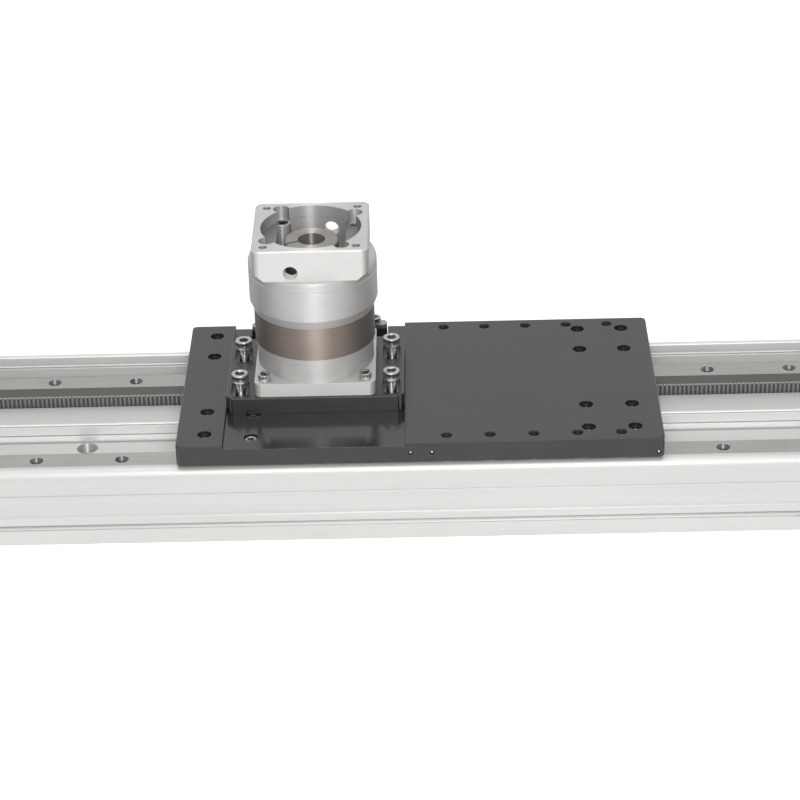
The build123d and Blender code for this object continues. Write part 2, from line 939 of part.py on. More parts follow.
def adapter_plate():
    x0, x1 = adapter_left, adapter_right
    edge = adapter_corner
    corners = [
        (x0 + edge, adapter_front, 0),
        (x1 - edge, adapter_front, 0),
        (x1, adapter_front + edge, 0),
        (x1, adapter_rear - edge, 0),
        (x1 - edge, adapter_rear, 0),
        (x0 + edge, adapter_rear, 0),
        (x0, adapter_rear - edge, 0),
        (x0, adapter_front + edge, 0),
    ]
    solid = extrude(Pos(0, 0, adapter_low) * rounded_face(corners), adapter_thickness)
    solid = chamfer(solid.edges().group_by(Axis.Z)[-1], adapter_edge)
    lug_x0 = gearbox_x - lug_half_length
    lug_x1 = gearbox_x + lug_half_length
    lug_low = adapter_low - lug_height
    solid = solid + box_between(lug_x0, lug_x1, adapter_rear - lug_depth, adapter_rear, lug_low, adapter_low)
    over = adapter_top + 1
    cuts = [gearbox_post(lug_low - 1, over, pilot_radius)]
    for x, y in clamp_screw_places():
        y0 = y - slot_reach_front
        y1 = y + slot_reach_rear
        low_y0 = y0 + slot_ledge
        low_y1 = y1 - slot_ledge
        cuts.append(slot_between(x, low_y0, low_y1, adapter_low - 1, over, slot_half_width))
        cuts.append(slot_between(x, y0, y1, adapter_low + slot_floor, over, slot_head_half_width))
    for x, y in flange_screw_places():
        cuts.append(post(x, y, adapter_low - 1, over, m5[0] + thread_fit))
    return solid - cuts


def flange_screw_places():
    d = flange_screw_offset
    return [(gearbox_x + dx, gearbox_y + dy) for dx in (-d, d) for dy in (-d, d)]


def flange_screws():
    one = cap_screw(m5, flange_screw_length, with_socket=True)
    return [Pos(x, y, flange_top) * one for x, y in flange_screw_places()]


def tie_places():
    """Axes of the long screws that hold the gearbox together."""
    places = []
    for i in range(4):
        offset = polar(tie_circle_radius, math.radians(tie_first_angle + 90 * i))
        places.append((gearbox_x + offset.X, gearbox_y + offset.Y))
    return places


def tie_end():
    return tie_seat - tie_screw_length


def output_housing():
    x0, x1 = gearbox_x - flange_half_width, gearbox_x + flange_half_width
    y0, y1 = gearbox_y - flange_half_width, gearbox_y + flange_half_width
    solid = plate_between(x0, x1, y0, y1, adapter_top, flange_top, flange_corner)
    solid = solid + gearbox_post(adapter_top - pilot_height, flange_top, pilot_radius - running_fit)
    solid = solid + gearbox_post(flange_top, housing_top, housing_radius)
    solid = solid + gearbox_post(housing_top - housing_lip_height, housing_top, housing_lip_radius)
    cuts = [gearbox_post(adapter_top - pilot_height - 1, housing_top, seal_radius)]
    cuts.append(gearbox_post(bearing_low, housing_top + 1, output_bearing_radius + bearing_fit))
    for x, y in flange_screw_places():
        cuts.append(post(x, y, adapter_top - 1, flange_top + 1, m5[0] + screw_play))
    for x, y in tie_places():
        cuts.append(post(x, y, tie_end() - 1, housing_top + 1, m5[0] + thread_fit))
    return solid - cuts


def ring_gear():
    solid = gearbox_post(housing_top, ring_top, ring_radius)
    low = housing_top + ring_teeth_start
    high = low + ring_teeth_height
    opening = gear_face(gear_module, ring_teeth, tooth_thinning, 0, internal=True)
    teeth = extrude(Pos(gearbox_x, gearbox_y, low) * opening, ring_teeth_height)
    cuts = [teeth, gearbox_post(housing_top - 1, low, ring_bore_radius)]
    cuts.append(gearbox_post(high, ring_top + 1, ring_bore_radius))
    for x, y in tie_places():
        cuts.append(post(x, y, housing_top - 1, ring_top + 1, m5[0] + screw_play))
    return solid - cuts


def input_housing():
    """The upper housing, with the turned taper that meets the ring gear."""
    taper = Cone(ring_radius, upper_radius, taper_height)
    solid = Pos(gearbox_x, gearbox_y, ring_top + taper_height / 2) * taper
    upper = gearbox_post(ring_top + taper_height, input_top, upper_radius)
    solid = solid + chamfer(upper.edges().group_by(Axis.Z)[-1], seam_edge)
    seat = input_bearing_radius + bearing_fit
    cuts = [gearbox_post(ring_top - 1, input_bearing_low, input_bore_radius)]
    cuts.append(gearbox_post(input_bearing_low, input_top + 1, seat))
    groove_top = input_bearing_high + retaining_ring_thickness + running_fit
    cuts.append(gearbox_post(input_bearing_high, groove_top, input_bearing_radius + retaining_groove_depth))
    for x, y in tie_places():
        cuts.append(post(x, y, ring_top - 1, input_top + 1, m5[0] + screw_play))
    return solid - cuts


def motor_flange():
    """Round below and square above, with the motor's pilot, the hub's cavity and screw bosses in it."""
    round_top = flange_low + motor_round_height
    round_part = gearbox_post(flange_low, round_top, upper_radius)
    round_part = fillet(round_part.edges().group_by(Axis.Z)[-1], motor_shoulder_radius)
    round_part = chamfer(round_part.edges().group_by(Axis.Z)[0], seam_edge)
    square_low = flange_low + motor_square_rise
    width = 2 * motor_half_width
    x0, x1 = gearbox_x - upper_radius, gearbox_x + upper_radius
    for side in (-1, 1):
        near = gearbox_y + side * motor_half_width
        far = gearbox_y + side * (upper_radius + 1)
        round_part = round_part - box_between(x0, x1, min(near, far), max(near, far), square_low, motor_top)
    square = extrude(RectangleRounded(width, width, motor_corner_radius), motor_top - square_low)
    square = chamfer(square.edges().group_by(Axis.Z)[-1], motor_top_edge)
    height = motor_top - square_low
    wide_cut = motor_corner_cut + motor_corner_slope * height
    corner_cone = Pos(0, 0, height / 2) * Cone(motor_corner_cut, wide_cut, height)
    square = square & corner_cone
    solid = round_part + Pos(gearbox_x, gearbox_y, square_low) * square
    over = motor_top + 1
    cavity = gearbox_post(flange_low - 1, over, cavity_radius)
    x0, x1 = gearbox_x - cavity_half_width, gearbox_x + cavity_half_width
    reach = cavity_radius + 1
    flats = box_between(x0, x1, gearbox_y - reach, gearbox_y + reach, flange_low - 1, over)
    bosses = [post(x, y, flange_low - 2, tie_floor, tie_boss_radius) for x, y in tie_places()]
    cuts = [(cavity & flats) - bosses]
    cuts.append(gearbox_post(motor_top - motor_pilot_depth, over, motor_pilot_radius))
    for x, y in tie_places():
        cuts.append(post(x, y, flange_low - 1, over, m5[0] + screw_play))
        cuts.append(post(x, y, tie_seat, over, m5[1] + screw_play))
        cuts.append(post(x, y, tie_floor, over, tie_pocket_radius))
    for x, y in motor_hole_places():
        cuts.append(post(x, y, motor_top - motor_hole_depth, over, motor_hole_radius))
    outside = upper_radius + 1
    front_x = gearbox_x - access_offset_x
    rear_x = gearbox_x + access_offset_x
    cuts.append(bar_along_y(front_x, access_z, gearbox_y - outside, gearbox_y, access_radius))
    cuts.append(bar_along_y(rear_x, access_z, gearbox_y, gearbox_y + outside, access_radius))
    return solid - cuts


def motor_hole_places():
    d = motor_hole_circle / 2 / math.sqrt(2)
    return [(gearbox_x + dx, gearbox_y + dy) for dx in (-d, d) for dy in (-d, d)]


def tie_screws():
    one = cap_screw(m5, tie_screw_length, with_socket=True)
    return [Pos(x, y, tie_seat) * one for x, y in tie_places()]


def output_bearing_outer_rings():
    outer = output_bearing_radius
    inner = outer - bearing_ring_thickness
    rings = []
    for i in range(2):
        low = bearing_low + i * output_bearing_width
        rings.append(ring(gearbox_x, gearbox_y, low, low + output_bearing_width, outer, inner))
    return rings


def output_bearing_inner_rings():
    outer = output_bearing_bore + bearing_ring_thickness
    inner = output_bearing_bore + bearing_fit
    rings = []
    for i in range(2):
        low = bearing_low + i * output_bearing_width
        rings.append(ring(gearbox_x, gearbox_y, low, low + output_bearing_width, outer, inner))
    return rings


def shaft_seal():
    high = bearing_low
    inner = output_bearing_bore + running_fit
    return ring(gearbox_x, gearbox_y, high - seal_thickness, high, seal_radius - bearing_fit, inner)


def input_bearing_outer_ring():
    inner = input_bearing_radius - bearing_ring_thickness
    return ring(gearbox_x, gearbox_y, input_bearing_low, input_bearing_high, input_bearing_radius, inner)


def input_bearing_inner_ring():
    outer = input_bearing_bore + bearing_ring_thickness
    inner = input_bearing_bore + bearing_fit
    return ring(gearbox_x, gearbox_y, input_bearing_low, input_bearing_high, outer, inner)


def retaining_ring():
    outer = input_bearing_radius + retaining_groove_depth - running_fit
    inner = input_bearing_radius - bearing_ring_thickness
    high = input_bearing_high + retaining_ring_thickness
    return ring(gearbox_x, gearbox_y, input_bearing_high, high, outer, inner)


# Output shaft with the planets and the pinion


def circle_places(radius, first_angle, count):
    places = []
    for i in range(count):
        offset = polar(radius, math.radians(first_angle + 360 * i / count))
        places.append((gearbox_x + offset.X, gearbox_y + offset.Y))
    return places


def planet_places():
    return circle_places(carrier_distance, 0, planet_count)


def shaft_end():
    return pinion_bottom + pinion_counterbore_depth + shaft_end_gap


def key_cut(depth_radius, z0, z1, play):
    """The space of the key, from the shaft's slot floor out to a radius, on the front side."""
    floor = shaft_radius - key_depth
    half = key_width / 2 + play
    x0, x1 = gearbox_x - half, gearbox_x + half
    return box_between(x0, x1, gearbox_y - depth_radius, gearbox_y - floor, z0, z1)


def key_ends():
    middle = (shaft_end() + pinion_top) / 2
    return middle - key_length / 2, middle + key_length / 2


def planet_carrier():
    """Output shaft and planet carrier in one piece."""
    solid = gearbox_post(shaft_end(), pinion_top, shaft_radius)
    solid = solid + gearbox_post(pinion_top, housing_top, output_bearing_bore)
    solid = solid + gearbox_post(housing_top, carrier_disc_low, carrier_shoulder_radius)
    disc_top = carrier_disc_low + carrier_disc_thickness
    solid = solid + gearbox_post(carrier_disc_low, disc_top, carrier_radius)
    top_disc = gearbox_post(carrier_top_low, carrier_top, carrier_radius)
    solid = solid + (top_disc - gearbox_post(carrier_top_low, carrier_top, carrier_bore_radius))
    for x, y in circle_places(post_circle_radius, 180 / planet_count, planet_count):
        solid = solid + post(x, y, disc_top, carrier_top_low, post_radius)
    pin_low, pin_high = planet_pin_ends()
    cuts = [post(x, y, pin_low, pin_high, planet_pin_radius + bearing_fit) for x, y in planet_places()]
    low, high = key_ends()
    cuts.append(key_cut(shaft_radius + 1, low, high, 0))
    cuts.append(gearbox_post(shaft_end() - 1, shaft_end() + pinion_screw_length, m8[0] + thread_fit))
    return solid - cuts


def planet_pin_ends():
    return carrier_disc_low + planet_pin_inset, carrier_top


def planet_pins():
    low, high = planet_pin_ends()
    return [post(x, y, low, high - planet_pin_inset, planet_pin_radius) for x, y in planet_places()]


def planet_gear(index):
    """A planet with one tooth on the line through the sun, so that it meets gaps on both sides."""
    x, y = planet_places()[index]
    first_angle = 2 * math.pi * index / planet_count
    outline = gear_face(gear_module, planet_teeth, tooth_thinning, first_angle)
    solid = extrude(Pos(x, y, gear_low) * outline, gear_width)
    return solid - post(x, y, gear_low - 1, gear_high + 1, bush_radius)


def planet_bush(index):
    x, y = planet_places()[index]
    return ring(x, y, gear_low, gear_high, bush_radius - bearing_fit, planet_pin_radius + running_fit)


def pinion():
    """The pinion with a tooth in the rack's gap, its hub, keyway and counterbore."""
    outline = gear_face(rack_module, pinion_teeth, tooth_thinning, math.pi / 2)
    solid = extrude(Pos(gearbox_x, gearbox_y, pinion_bottom) * outline, pinion_face)
    solid = solid + gearbox_post(pinion_bottom + pinion_face, pinion_top, pinion_hub_radius)
    over = pinion_top + 1
    floor = pinion_bottom + pinion_counterbore_depth
    cuts = [gearbox_post(pinion_bottom - 1, over, shaft_radius + bearing_fit)]
    cuts.append(gearbox_post(pinion_bottom - 1, floor, pinion_counterbore_radius))
    keyway_radius = shaft_radius - key_depth + key_height + key_play
    cuts.append(key_cut(keyway_radius, pinion_bottom - 1, over, key_play / 4))
    return solid - cuts


def pinion_key():
    low, high = key_ends()
    floor = shaft_radius - key_depth
    half = key_width / 2
    x0, x1 = gearbox_x - half, gearbox_x + half
    return box_between(x0, x1, gearbox_y - floor - key_height, gearbox_y - floor, low, high)


def pinion_washer():
    """A thick washer against the counterbore's floor, with a countersink for its screw."""
    high = pinion_bottom + pinion_counterbore_depth
    low = high - washer_thickness
    solid = ring(gearbox_x, gearbox_y, low, high, washer_radius, m8[0] + screw_play)
    wide = pinion_screw_head_radius + running_fit
    narrow = m8[0] + running_fit
    cone = Cone(wide, narrow, pinion_screw_head_height)
    return solid - Pos(gearbox_x, gearbox_y, low + pinion_screw_head_height / 2) * cone


def pinion_screw():
    """The countersunk screw in the end of the shaft."""
    low = pinion_bottom + pinion_counterbore_depth - washer_thickness
    head = Cone(pinion_screw_head_radius, m8[0], pinion_screw_head_height)
    solid = Pos(gearbox_x, gearbox_y, low + pinion_screw_head_height / 2) * head
    solid = solid + gearbox_post(low + pinion_screw_head_height, low + pinion_screw_length, m8[0])
    hexagon = Pos(gearbox_x, gearbox_y, low) * RegularPolygon(m6[3] / 2, 6, major_radius=False)
    return solid - extrude(hexagon, pinion_screw_head_height)


# Input: the clamp hub with the sun gear


def clamp_screw_x():
    return gearbox_x - access_offset_x


def input_hub():
    """Sun gear, bearing journal and clamp hub in one piece."""
    sun_phase = math.pi / sun_teeth
    sun = extrude(gear_face(gear_module, sun_teeth, tooth_thinning, sun_phase), gear_width)
    solid = Pos(gearbox_x, gearbox_y, gear_low) * sun
    journal_low = input_bearing_high - journal_length
    solid = solid + gearbox_post(gear_high, journal_low, sun_neck_radius)
    solid = solid + gearbox_post(journal_low, input_bearing_high, input_bearing_bore)
    hub = gearbox_post(input_bearing_high, hub_top, hub_radius)
    hub = chamfer(hub.edges().group_by(Axis.Z)[-1], hub_edge)
    solid = solid + hub
    cuts = [gearbox_post(hub_top - hub_bore_depth, hub_top + 1, hub_bore_radius)]
    slit_height = hub_top - input_bearing_high
    slit = Pos(hub_radius / 2 + 1, 0, slit_height / 2 + 1) * Box(hub_radius + 2, hub_slit_width, slit_height)
    cuts.append(Pos(gearbox_x, gearbox_y, input_bearing_high) * Rot(0, 0, hub_slit_angle) * slit)
    x = clamp_screw_x()
    head_y = gearbox_y + clamp_screw_head_y
    tail_y = head_y + clamp_screw_reach + 1
    cuts.append(bar_along_y(x, access_z, gearbox_y - hub_radius, head_y, m5[1] + screw_play))
    cuts.append(bar_along_y(x, access_z, head_y - 1, tail_y, m5[0] + thread_fit))
    return solid - cuts


def clamp_screw():
    """The screw that closes the hub on the motor's shaft."""
    place = Pos(clamp_screw_x(), gearbox_y + clamp_screw_head_y, access_z)
    return place * Rot(90, 0, 0) * cap_screw(m5, clamp_screw_reach, with_socket=True)


def all_nodes():
    """Every node with its solid or its group of solids."""
    nodes = {
        "base_profile": base_profile(),
        "rail_front": rail(-rail_y),
        "rail_rear": rail(rail_y),
        "rail_screws": rail_screws(),
        "rack": rack(),
        "rack_screws": rack_screws(),
        "end_plate_left": end_plate(-1),
        "end_plate_right": end_plate(1),
        "end_plate_screws": end_plate_screws(),
        "stop_bumpers": stop_bumpers(),
        "carriage_plate": carriage_plate(),
        "block_screws": block_screws(),
        "clamp_screws": clamp_screws(),
        "adjuster_bar": adjuster_bar(),
        "adjuster_strip": adjuster_strip(),
        "adjuster_bar_screws": adjuster_bar_screws(),
        "jack_screws": jack_screws(),
        "jack_nuts": jack_nuts(),
        "adapter_plate": adapter_plate(),
        "flange_screws": flange_screws(),
        "output_housing": output_housing(),
        "output_bearing_outer_rings": output_bearing_outer_rings(),
        "output_bearing_inner_rings": output_bearing_inner_rings(),
        "shaft_seal": shaft_seal(),
        "ring_gear": ring_gear(),
        "input_housing": input_housing(),
        "input_bearing_outer_ring": input_bearing_outer_ring(),
        "input_bearing_inner_ring": input_bearing_inner_ring(),
        "retaining_ring": retaining_ring(),
        "motor_flange": motor_flange(),
        "tie_screws": tie_screws(),
        "planet_carrier": planet_carrier(),
        "planet_pins": planet_pins(),
        "pinion": pinion(),
        "pinion_key": pinion_key(),
        "pinion_washer": pinion_washer(),
        "pinion_screw": pinion_screw(),
        "input_hub": input_hub(),
        "hub_clamp_screw": clamp_screw(),
    }
    for name, x, y in block_places():
        nodes["block_" + name] = block_body(x, y)
        nodes["block_caps_" + name] = block_caps(x, y)
        nodes["block_seals_" + name] = block_seals(x, y)
    for i in range(planet_count):
        nodes[f"planet_gear_{i + 1}"] = planet_gear(i)
        nodes[f"planet_bush_{i + 1}"] = planet_bush(i)
    return nodes


def solids_of(shape):
    """The plain solids of a shape or of a list of shapes."""
    pieces = shape if isinstance(shape, list) else [shape]
    return [solid for piece in pieces for solid in piece.solids()]


os.makedirs("parts", exist_ok=True)
for node, shape in all_nodes().items():
    solids = solids_of(shape)
    whole = solids[0] if len(solids) == 1 else Compound(children=solids)
    export_step(whole, f"parts/{node}.step")
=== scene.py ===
import json
import math

import bmesh
import bpy
from mathutils import Matrix, Vector

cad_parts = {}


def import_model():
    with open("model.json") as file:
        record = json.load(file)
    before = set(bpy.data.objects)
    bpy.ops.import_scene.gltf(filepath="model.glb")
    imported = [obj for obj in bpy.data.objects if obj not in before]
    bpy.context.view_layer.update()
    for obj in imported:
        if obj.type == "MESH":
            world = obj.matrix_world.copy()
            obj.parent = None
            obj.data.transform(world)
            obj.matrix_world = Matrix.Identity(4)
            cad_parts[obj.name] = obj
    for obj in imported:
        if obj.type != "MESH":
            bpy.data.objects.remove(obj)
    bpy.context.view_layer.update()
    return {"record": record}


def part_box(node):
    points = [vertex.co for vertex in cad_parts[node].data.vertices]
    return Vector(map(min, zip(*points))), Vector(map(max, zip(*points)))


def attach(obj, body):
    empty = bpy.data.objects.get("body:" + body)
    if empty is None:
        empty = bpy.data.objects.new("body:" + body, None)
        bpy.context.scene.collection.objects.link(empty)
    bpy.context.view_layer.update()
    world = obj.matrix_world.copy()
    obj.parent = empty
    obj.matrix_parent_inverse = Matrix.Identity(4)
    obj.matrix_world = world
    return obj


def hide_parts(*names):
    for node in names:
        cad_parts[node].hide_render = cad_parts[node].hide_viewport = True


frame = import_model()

# Camera, fitted to the photograph: place in metres and angles in degrees
CAMERA_PLACE = Vector((-0.01846, -1.70556, 0.99606))
CAMERA_PITCH = 28.739
CAMERA_YAW = -0.902
CAMERA_ROLL = -1.617
CAMERA_LENS = 122.43
SENSOR_WIDTH = 36.0

# Axis of the gearbox
GEARBOX_X, GEARBOX_Y = [(a + b) / 2 for a, b in zip(*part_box("ring_gear"))][:2]

# From the rack's front back to the front wall of the profile's raised middle
RACK_TO_MIDDLE_FRONT = 0.0256
# Depth of the motor pilot below the top of the motor flange
PILOT_DEPTH = 0.008
# Radius that holds the pilot and the cavity of the motor flange
CAVITY_REACH = 0.0355
# Depth of the recess in the carriage plate
RECESS_DEPTH = 0.003
# How far a mask reaches past the face that it colours
FACE_MARGIN = 0.0002

# Cap screws in metres: thread radius, head radius, head height, socket width over flats
M5 = (0.0025, 0.00425, 0.005, 0.004)
M6_WIDE = (0.003, 0.006, 0.0065, 0.006)
# Coarse thread pitch for each thread radius, and how deep the thread looks as a share of it
THREAD_PITCH = {0.0025: 0.0008, 0.003: 0.001, 0.004: 0.00125}
THREAD_SHARE = 0.55
ROUND_STEPS = 48


def node_object(name):
    return bpy.data.objects[name]


def centre_of(name):
    low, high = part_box(name)
    return Vector([(a + b) / 2 for a, b in zip(low, high)])


# Shader helpers


class Shader:
    """A material under construction, with short calls for its nodes."""

    def __init__(self, name):
        self.material = bpy.data.materials.new(name)
        self.material.use_nodes = True
        self.tree = self.material.node_tree
        self.principled = self.tree.nodes["Principled BSDF"]
        coordinates = self.tree.nodes.new("ShaderNodeTexCoord")
        self.place = coordinates.outputs["Object"]

    def node(self, kind, **values):
        made = self.tree.nodes.new(kind)
        for key, value in values.items():
            setattr(made, key, value)
        return made

    def link(self, source, target):
        self.tree.links.new(source, target)

    def scaled(self, scale):
        """Object coordinates times a scale."""
        mapping = self.node("ShaderNodeMapping", vector_type="POINT")
        mapping.inputs["Scale"].default_value = scale
        self.link(self.place, mapping.inputs["Vector"])
        return mapping.outputs["Vector"]

    def noise(self, vector, detail=3.0, roughness=0.5):
        made = self.node("ShaderNodeTexNoise")
        made.inputs["Scale"].default_value = 1.0
        made.inputs["Detail"].default_value = detail
        made.inputs["Roughness"].default_value = roughness
        self.link(vector, made.inputs["Vector"])
        return made.outputs["Fac"]

    def math(self, operation, first, second=0.0):
        made = self.node("ShaderNodeMath", operation=operation)
        for socket, value in zip(made.inputs, (first, second)):
            if isinstance(value, (int, float)):
                socket.default_value = value
            else:
                self.link(value, socket)
        return made.outputs[0]

    def vector_math(self, operation, first, second=None):
        made = self.node("ShaderNodeVectorMath", operation=operation)
        for socket, value in zip(made.inputs, (first, second)):
            if isinstance(value, (tuple, Vector)):
                socket.default_value = value
            elif value is not None:
                self.link(value, socket)
        return made.outputs["Value" if operation == "LENGTH" else "Vector"]

    def mixed(self, first, second, share):
        """A share of the first value and the rest of the second."""
        rest = self.math("MULTIPLY", second, 1 - share)
        return self.math("ADD", self.math("MULTIPLY", first, share), rest)

    def spread(self, value, low, high):
        """Maps 0..1 to low..high."""
        made = self.node("ShaderNodeMapRange")
        made.inputs["To Min"].default_value = low
        made.inputs["To Max"].default_value = high
        self.link(value, made.inputs["Value"])
        return made.outputs["Result"]

    def between(self, axis, low, high):
        """1 where a coordinate lies between two values."""
        separate = self.node("ShaderNodeSeparateXYZ")
        self.link(self.place, separate.inputs[0])
        value = separate.outputs[axis]
        above = self.math("GREATER_THAN", value, low)
        return self.math("MULTIPLY", above, self.math("LESS_THAN", value, high))

    def distance_from(self, centre, directions):
        """Distance from a point, counted only in the directions that are 1."""
        moved = self.vector_math("SUBTRACT", self.place, centre)
        return self.vector_math("LENGTH", self.vector_math("MULTIPLY", moved, directions))

    def ramp(self, value, low, high):
        made = self.node("ShaderNodeValToRGB")
        for element, position, color in zip(made.color_ramp.elements, (0.3, 0.7), (low, high)):
            element.position = position
            element.color = (*color, 1)
        self.link(value, made.inputs["Fac"])
        return made.outputs["Color"]

    def tinted(self, color, share, tint):
        """A colour that turns into a tint by a share."""
        mix = self.node("ShaderNodeMix", data_type="RGBA")
        sockets = {socket.identifier: socket for socket in mix.inputs}
        self.link(share, sockets["Factor_Float"])
        self.link(color, sockets["A_Color"])
        sockets["B_Color"].default_value = (*tint, 1)
        return [socket for socket in mix.outputs if socket.identifier == "Result_Color"][0]

    def side_shade(self, color, amount):
        """Darkens a colour where an upright surface turns away."""
        weight = self.node("ShaderNodeLayerWeight")
        parts = self.node("ShaderNodeSeparateXYZ")
        self.link(self.node("ShaderNodeNewGeometry").outputs["Normal"], parts.inputs[0])
        upright = self.math("SUBTRACT", 1.0, self.math("ABSOLUTE", parts.outputs["Z"]))
        share = self.math("MULTIPLY", self.math("MULTIPLY", weight.outputs["Facing"], upright), amount)
        return self.tinted(color, share, (0.02, 0.02, 0.02))

    def base_color(self, color):
        self.link(color, self.principled.inputs["Base Color"])

    def roughness_between(self, value, low, high, share=None, factor=1.0):
        """Roughness, times a factor where the share is 1."""
        result = self.spread(value, low, high)
        if share is not None:
            result = self.math("MULTIPLY", result, self.spread(share, 1.0, factor))
        self.link(result, self.principled.inputs["Roughness"])

    def metallic_between(self, share, off, on):
        self.link(self.spread(share, off, on), self.principled.inputs["Metallic"])

    def bump(self, height, strength, distance, edge=0.0):
        """Bump on top of softened edges."""
        made = self.node("ShaderNodeBump")
        made.inputs["Strength"].default_value = strength
        made.inputs["Distance"].default_value = distance
        self.link(height, made.inputs["Height"])
        if edge > 0:
            bevel = self.node("ShaderNodeBevel", samples=6)
            bevel.inputs["Radius"].default_value = edge
            self.link(bevel.outputs["Normal"], made.inputs["Normal"])
        self.link(made.outputs["Normal"], self.principled.inputs["Normal"])

    def turned_rings(self, pitch):
        """Fine rings around the gearbox axis, on its round walls and on its flat faces."""
        radius = self.distance_from((GEARBOX_X, GEARBOX_Y, 0), (1, 1, 0))
        separate = self.node("ShaderNodeSeparateXYZ")
        self.link(self.place, separate.inputs[0])
        combine = self.node("ShaderNodeCombineXYZ")
        self.link(self.math("MULTIPLY", radius, 1 / pitch), combine.inputs[0])
        self.link(self.math("MULTIPLY", separate.outputs[2], 1 / pitch), combine.inputs[1])
        return self.noise(combine.outputs[0], 2.0)

    def painted_corner_shade(self, color, distance, amount, tint):
        """Painted shade: darkens a colour towards a tint in narrow corners and grooves."""
        occlusion = self.node("ShaderNodeAmbientOcclusion", samples=6, only_local=True)
        occlusion.inputs["Distance"].default_value = distance
        closed = self.math("SUBTRACT", 1.0, occlusion.outputs["AO"])
        share = self.math("MINIMUM", self.math("MULTIPLY", closed, amount), 1.0)
        return self.tinted(color, share, tint)

    def groove_sheen(self, amount, turned, share=None, amount_there=0.0):
        """Stretches highlights across fine grooves: they run level on upright walls, and on flat faces
        around the gearbox axis or, on pieces that aren't turned, along x."""
        geometry = self.node("ShaderNodeNewGeometry")
        level = self.vector_math("CROSS_PRODUCT", geometry.outputs["Normal"], (0, 0, 1))
        if turned:
            moved = self.vector_math("SUBTRACT", self.place, (GEARBOX_X, GEARBOX_Y, 0))
            flat = self.vector_math("CROSS_PRODUCT", (0, 0, 1), moved)
            level = self.vector_math("ADD", level, flat)
        else:
            level = self.vector_math("ADD", level, (0.02, 0, 0))
        self.link(level, self.principled.inputs["Tangent"])
        if share is None:
            self.principled.inputs["Anisotropic"].default_value = amount
        else:
            self.link(self.spread(share, amount, amount_there), self.principled.inputs["Anisotropic"])
        self.principled.inputs["Anisotropic Rotation"].default_value = 0.25

    def set(self, **values):
        names = {"metallic": "Metallic", "ior": "IOR", "roughness": "Roughness"}
        for key, value in values.items():
            self.principled.inputs[names[key]].default_value = value


# Materials


def extruded_aluminium():
    """Natural anodised extrusion, with die lines along its length; bare metal in its holes, tinted lighter
    there as painted light; painted light on the raised middle's front wall and on the rear wall; painted
    shade in corners and grooves.
    """
    shader = Shader("extruded_aluminium")
    lines = shader.noise(shader.scaled((3, 900, 900)), 4.0, 0.6)
    cloud = shader.noise(shader.scaled((8, 30, 30)))
    both = shader.mixed(lines, cloud, 0.6)
    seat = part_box("rail_front")[0][2]
    holes = shader.math("MULTIPLY", shader.between(2, 0.0, seat - 0.0001), shader.between(1, -0.08, 0.08))
    color = shader.ramp(both, (0.62, 0.615, 0.60), (0.70, 0.695, 0.68))
    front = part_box("rack")[0][1] - RACK_TO_MIDDLE_FRONT
    middle_height, wall_width = 0.0155, 0.012
    # Painted light: the front wall of the raised middle is tinted near white.
    wall = shader.math("MULTIPLY", shader.between(1, front - 0.0004, front + 0.0003),
                       shader.between(2, seat + FACE_MARGIN, seat + middle_height))
    color = shader.tinted(color, wall, (0.97, 0.965, 0.955))
    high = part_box("base_profile")[1]
    # Painted light: the rear wall is tinted lighter.
    rear_wall = shader.math("MULTIPLY", shader.between(1, high[1] - wall_width, high[1] - 0.0005),
                            shader.between(2, seat + FACE_MARGIN, high[2] + 0.001))
    color = shader.tinted(color, rear_wall, (0.82, 0.815, 0.805))
    # Painted shade in the extrusion's corners and grooves.
    color = shader.painted_corner_shade(color, 0.0025, 1.3, (0.16, 0.155, 0.15))
    # Bare metal in the holes, tinted lighter as painted light.
    shader.base_color(shader.tinted(color, holes, (0.74, 0.73, 0.72)))
    shader.roughness_between(both, 0.36, 0.46, holes, 1.25)
    shader.metallic_between(holes, 0.3, 0.7)
    shader.groove_sheen(0.5, False, holes, 0.95)
    shader.bump(lines, 0.3, 0.00012, 0.0003)
    return shader.material


def machined_aluminium():
    """Turned and milled aluminium of the gearbox: polished in its cavity, with a painted shade line at the
    step below the pilot and painted light on the walls of its access holes.
    """
    shader = Shader("machined_aluminium")
    rings = shader.turned_rings(0.00045)
    cloud = shader.noise(shader.scaled((40, 40, 40)))
    both = shader.mixed(rings, cloud, 0.5)
    flange_bottom, flange_top = [corner[2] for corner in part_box("motor_flange")]
    screw = centre_of("hub_clamp_screw")
    inner = shader.distance_from((GEARBOX_X, GEARBOX_Y, 0), (1, 1, 0))
    cavity = shader.math("MULTIPLY", shader.math("LESS_THAN", inner, CAVITY_REACH),
                         shader.between(2, flange_bottom, flange_top - FACE_MARGIN))
    access_reach, access_outer, access_inner = 0.0051, 0.04, 0.031
    tube = shader.math("LESS_THAN", shader.distance_from((screw.x, 0, screw.z), (1, 0, 1)), access_reach)
    front_wall = shader.between(1, GEARBOX_Y - access_outer, GEARBOX_Y - access_inner)
    # Painted light: the walls of the access holes are tinted near white and made less metallic.
    access = shader.math("MULTIPLY", tube, front_wall)
    shelf_height = flange_top - PILOT_DEPTH
    # Painted shade: a thin dark line at the step below the pilot.
    shelf = shader.math("MULTIPLY", cavity, shader.between(2, shelf_height - 0.0001, shelf_height + 0.0001))
    color = shader.side_shade(shader.ramp(both, (0.575, 0.57, 0.555), (0.675, 0.67, 0.655)), 0.75)
    color = shader.tinted(color, shelf, (0.22, 0.215, 0.205))
    shader.base_color(shader.tinted(color, access, (0.9, 0.9, 0.89)))
    shader.roughness_between(both, 0.42, 0.54, cavity, 0.75)
    shader.metallic_between(access, 0.5, 0.1)
    shader.groove_sheen(0.8, True, cavity, 0.95)
    shader.bump(rings, 0.3, 0.0001, 0.0003)
    return shader.material


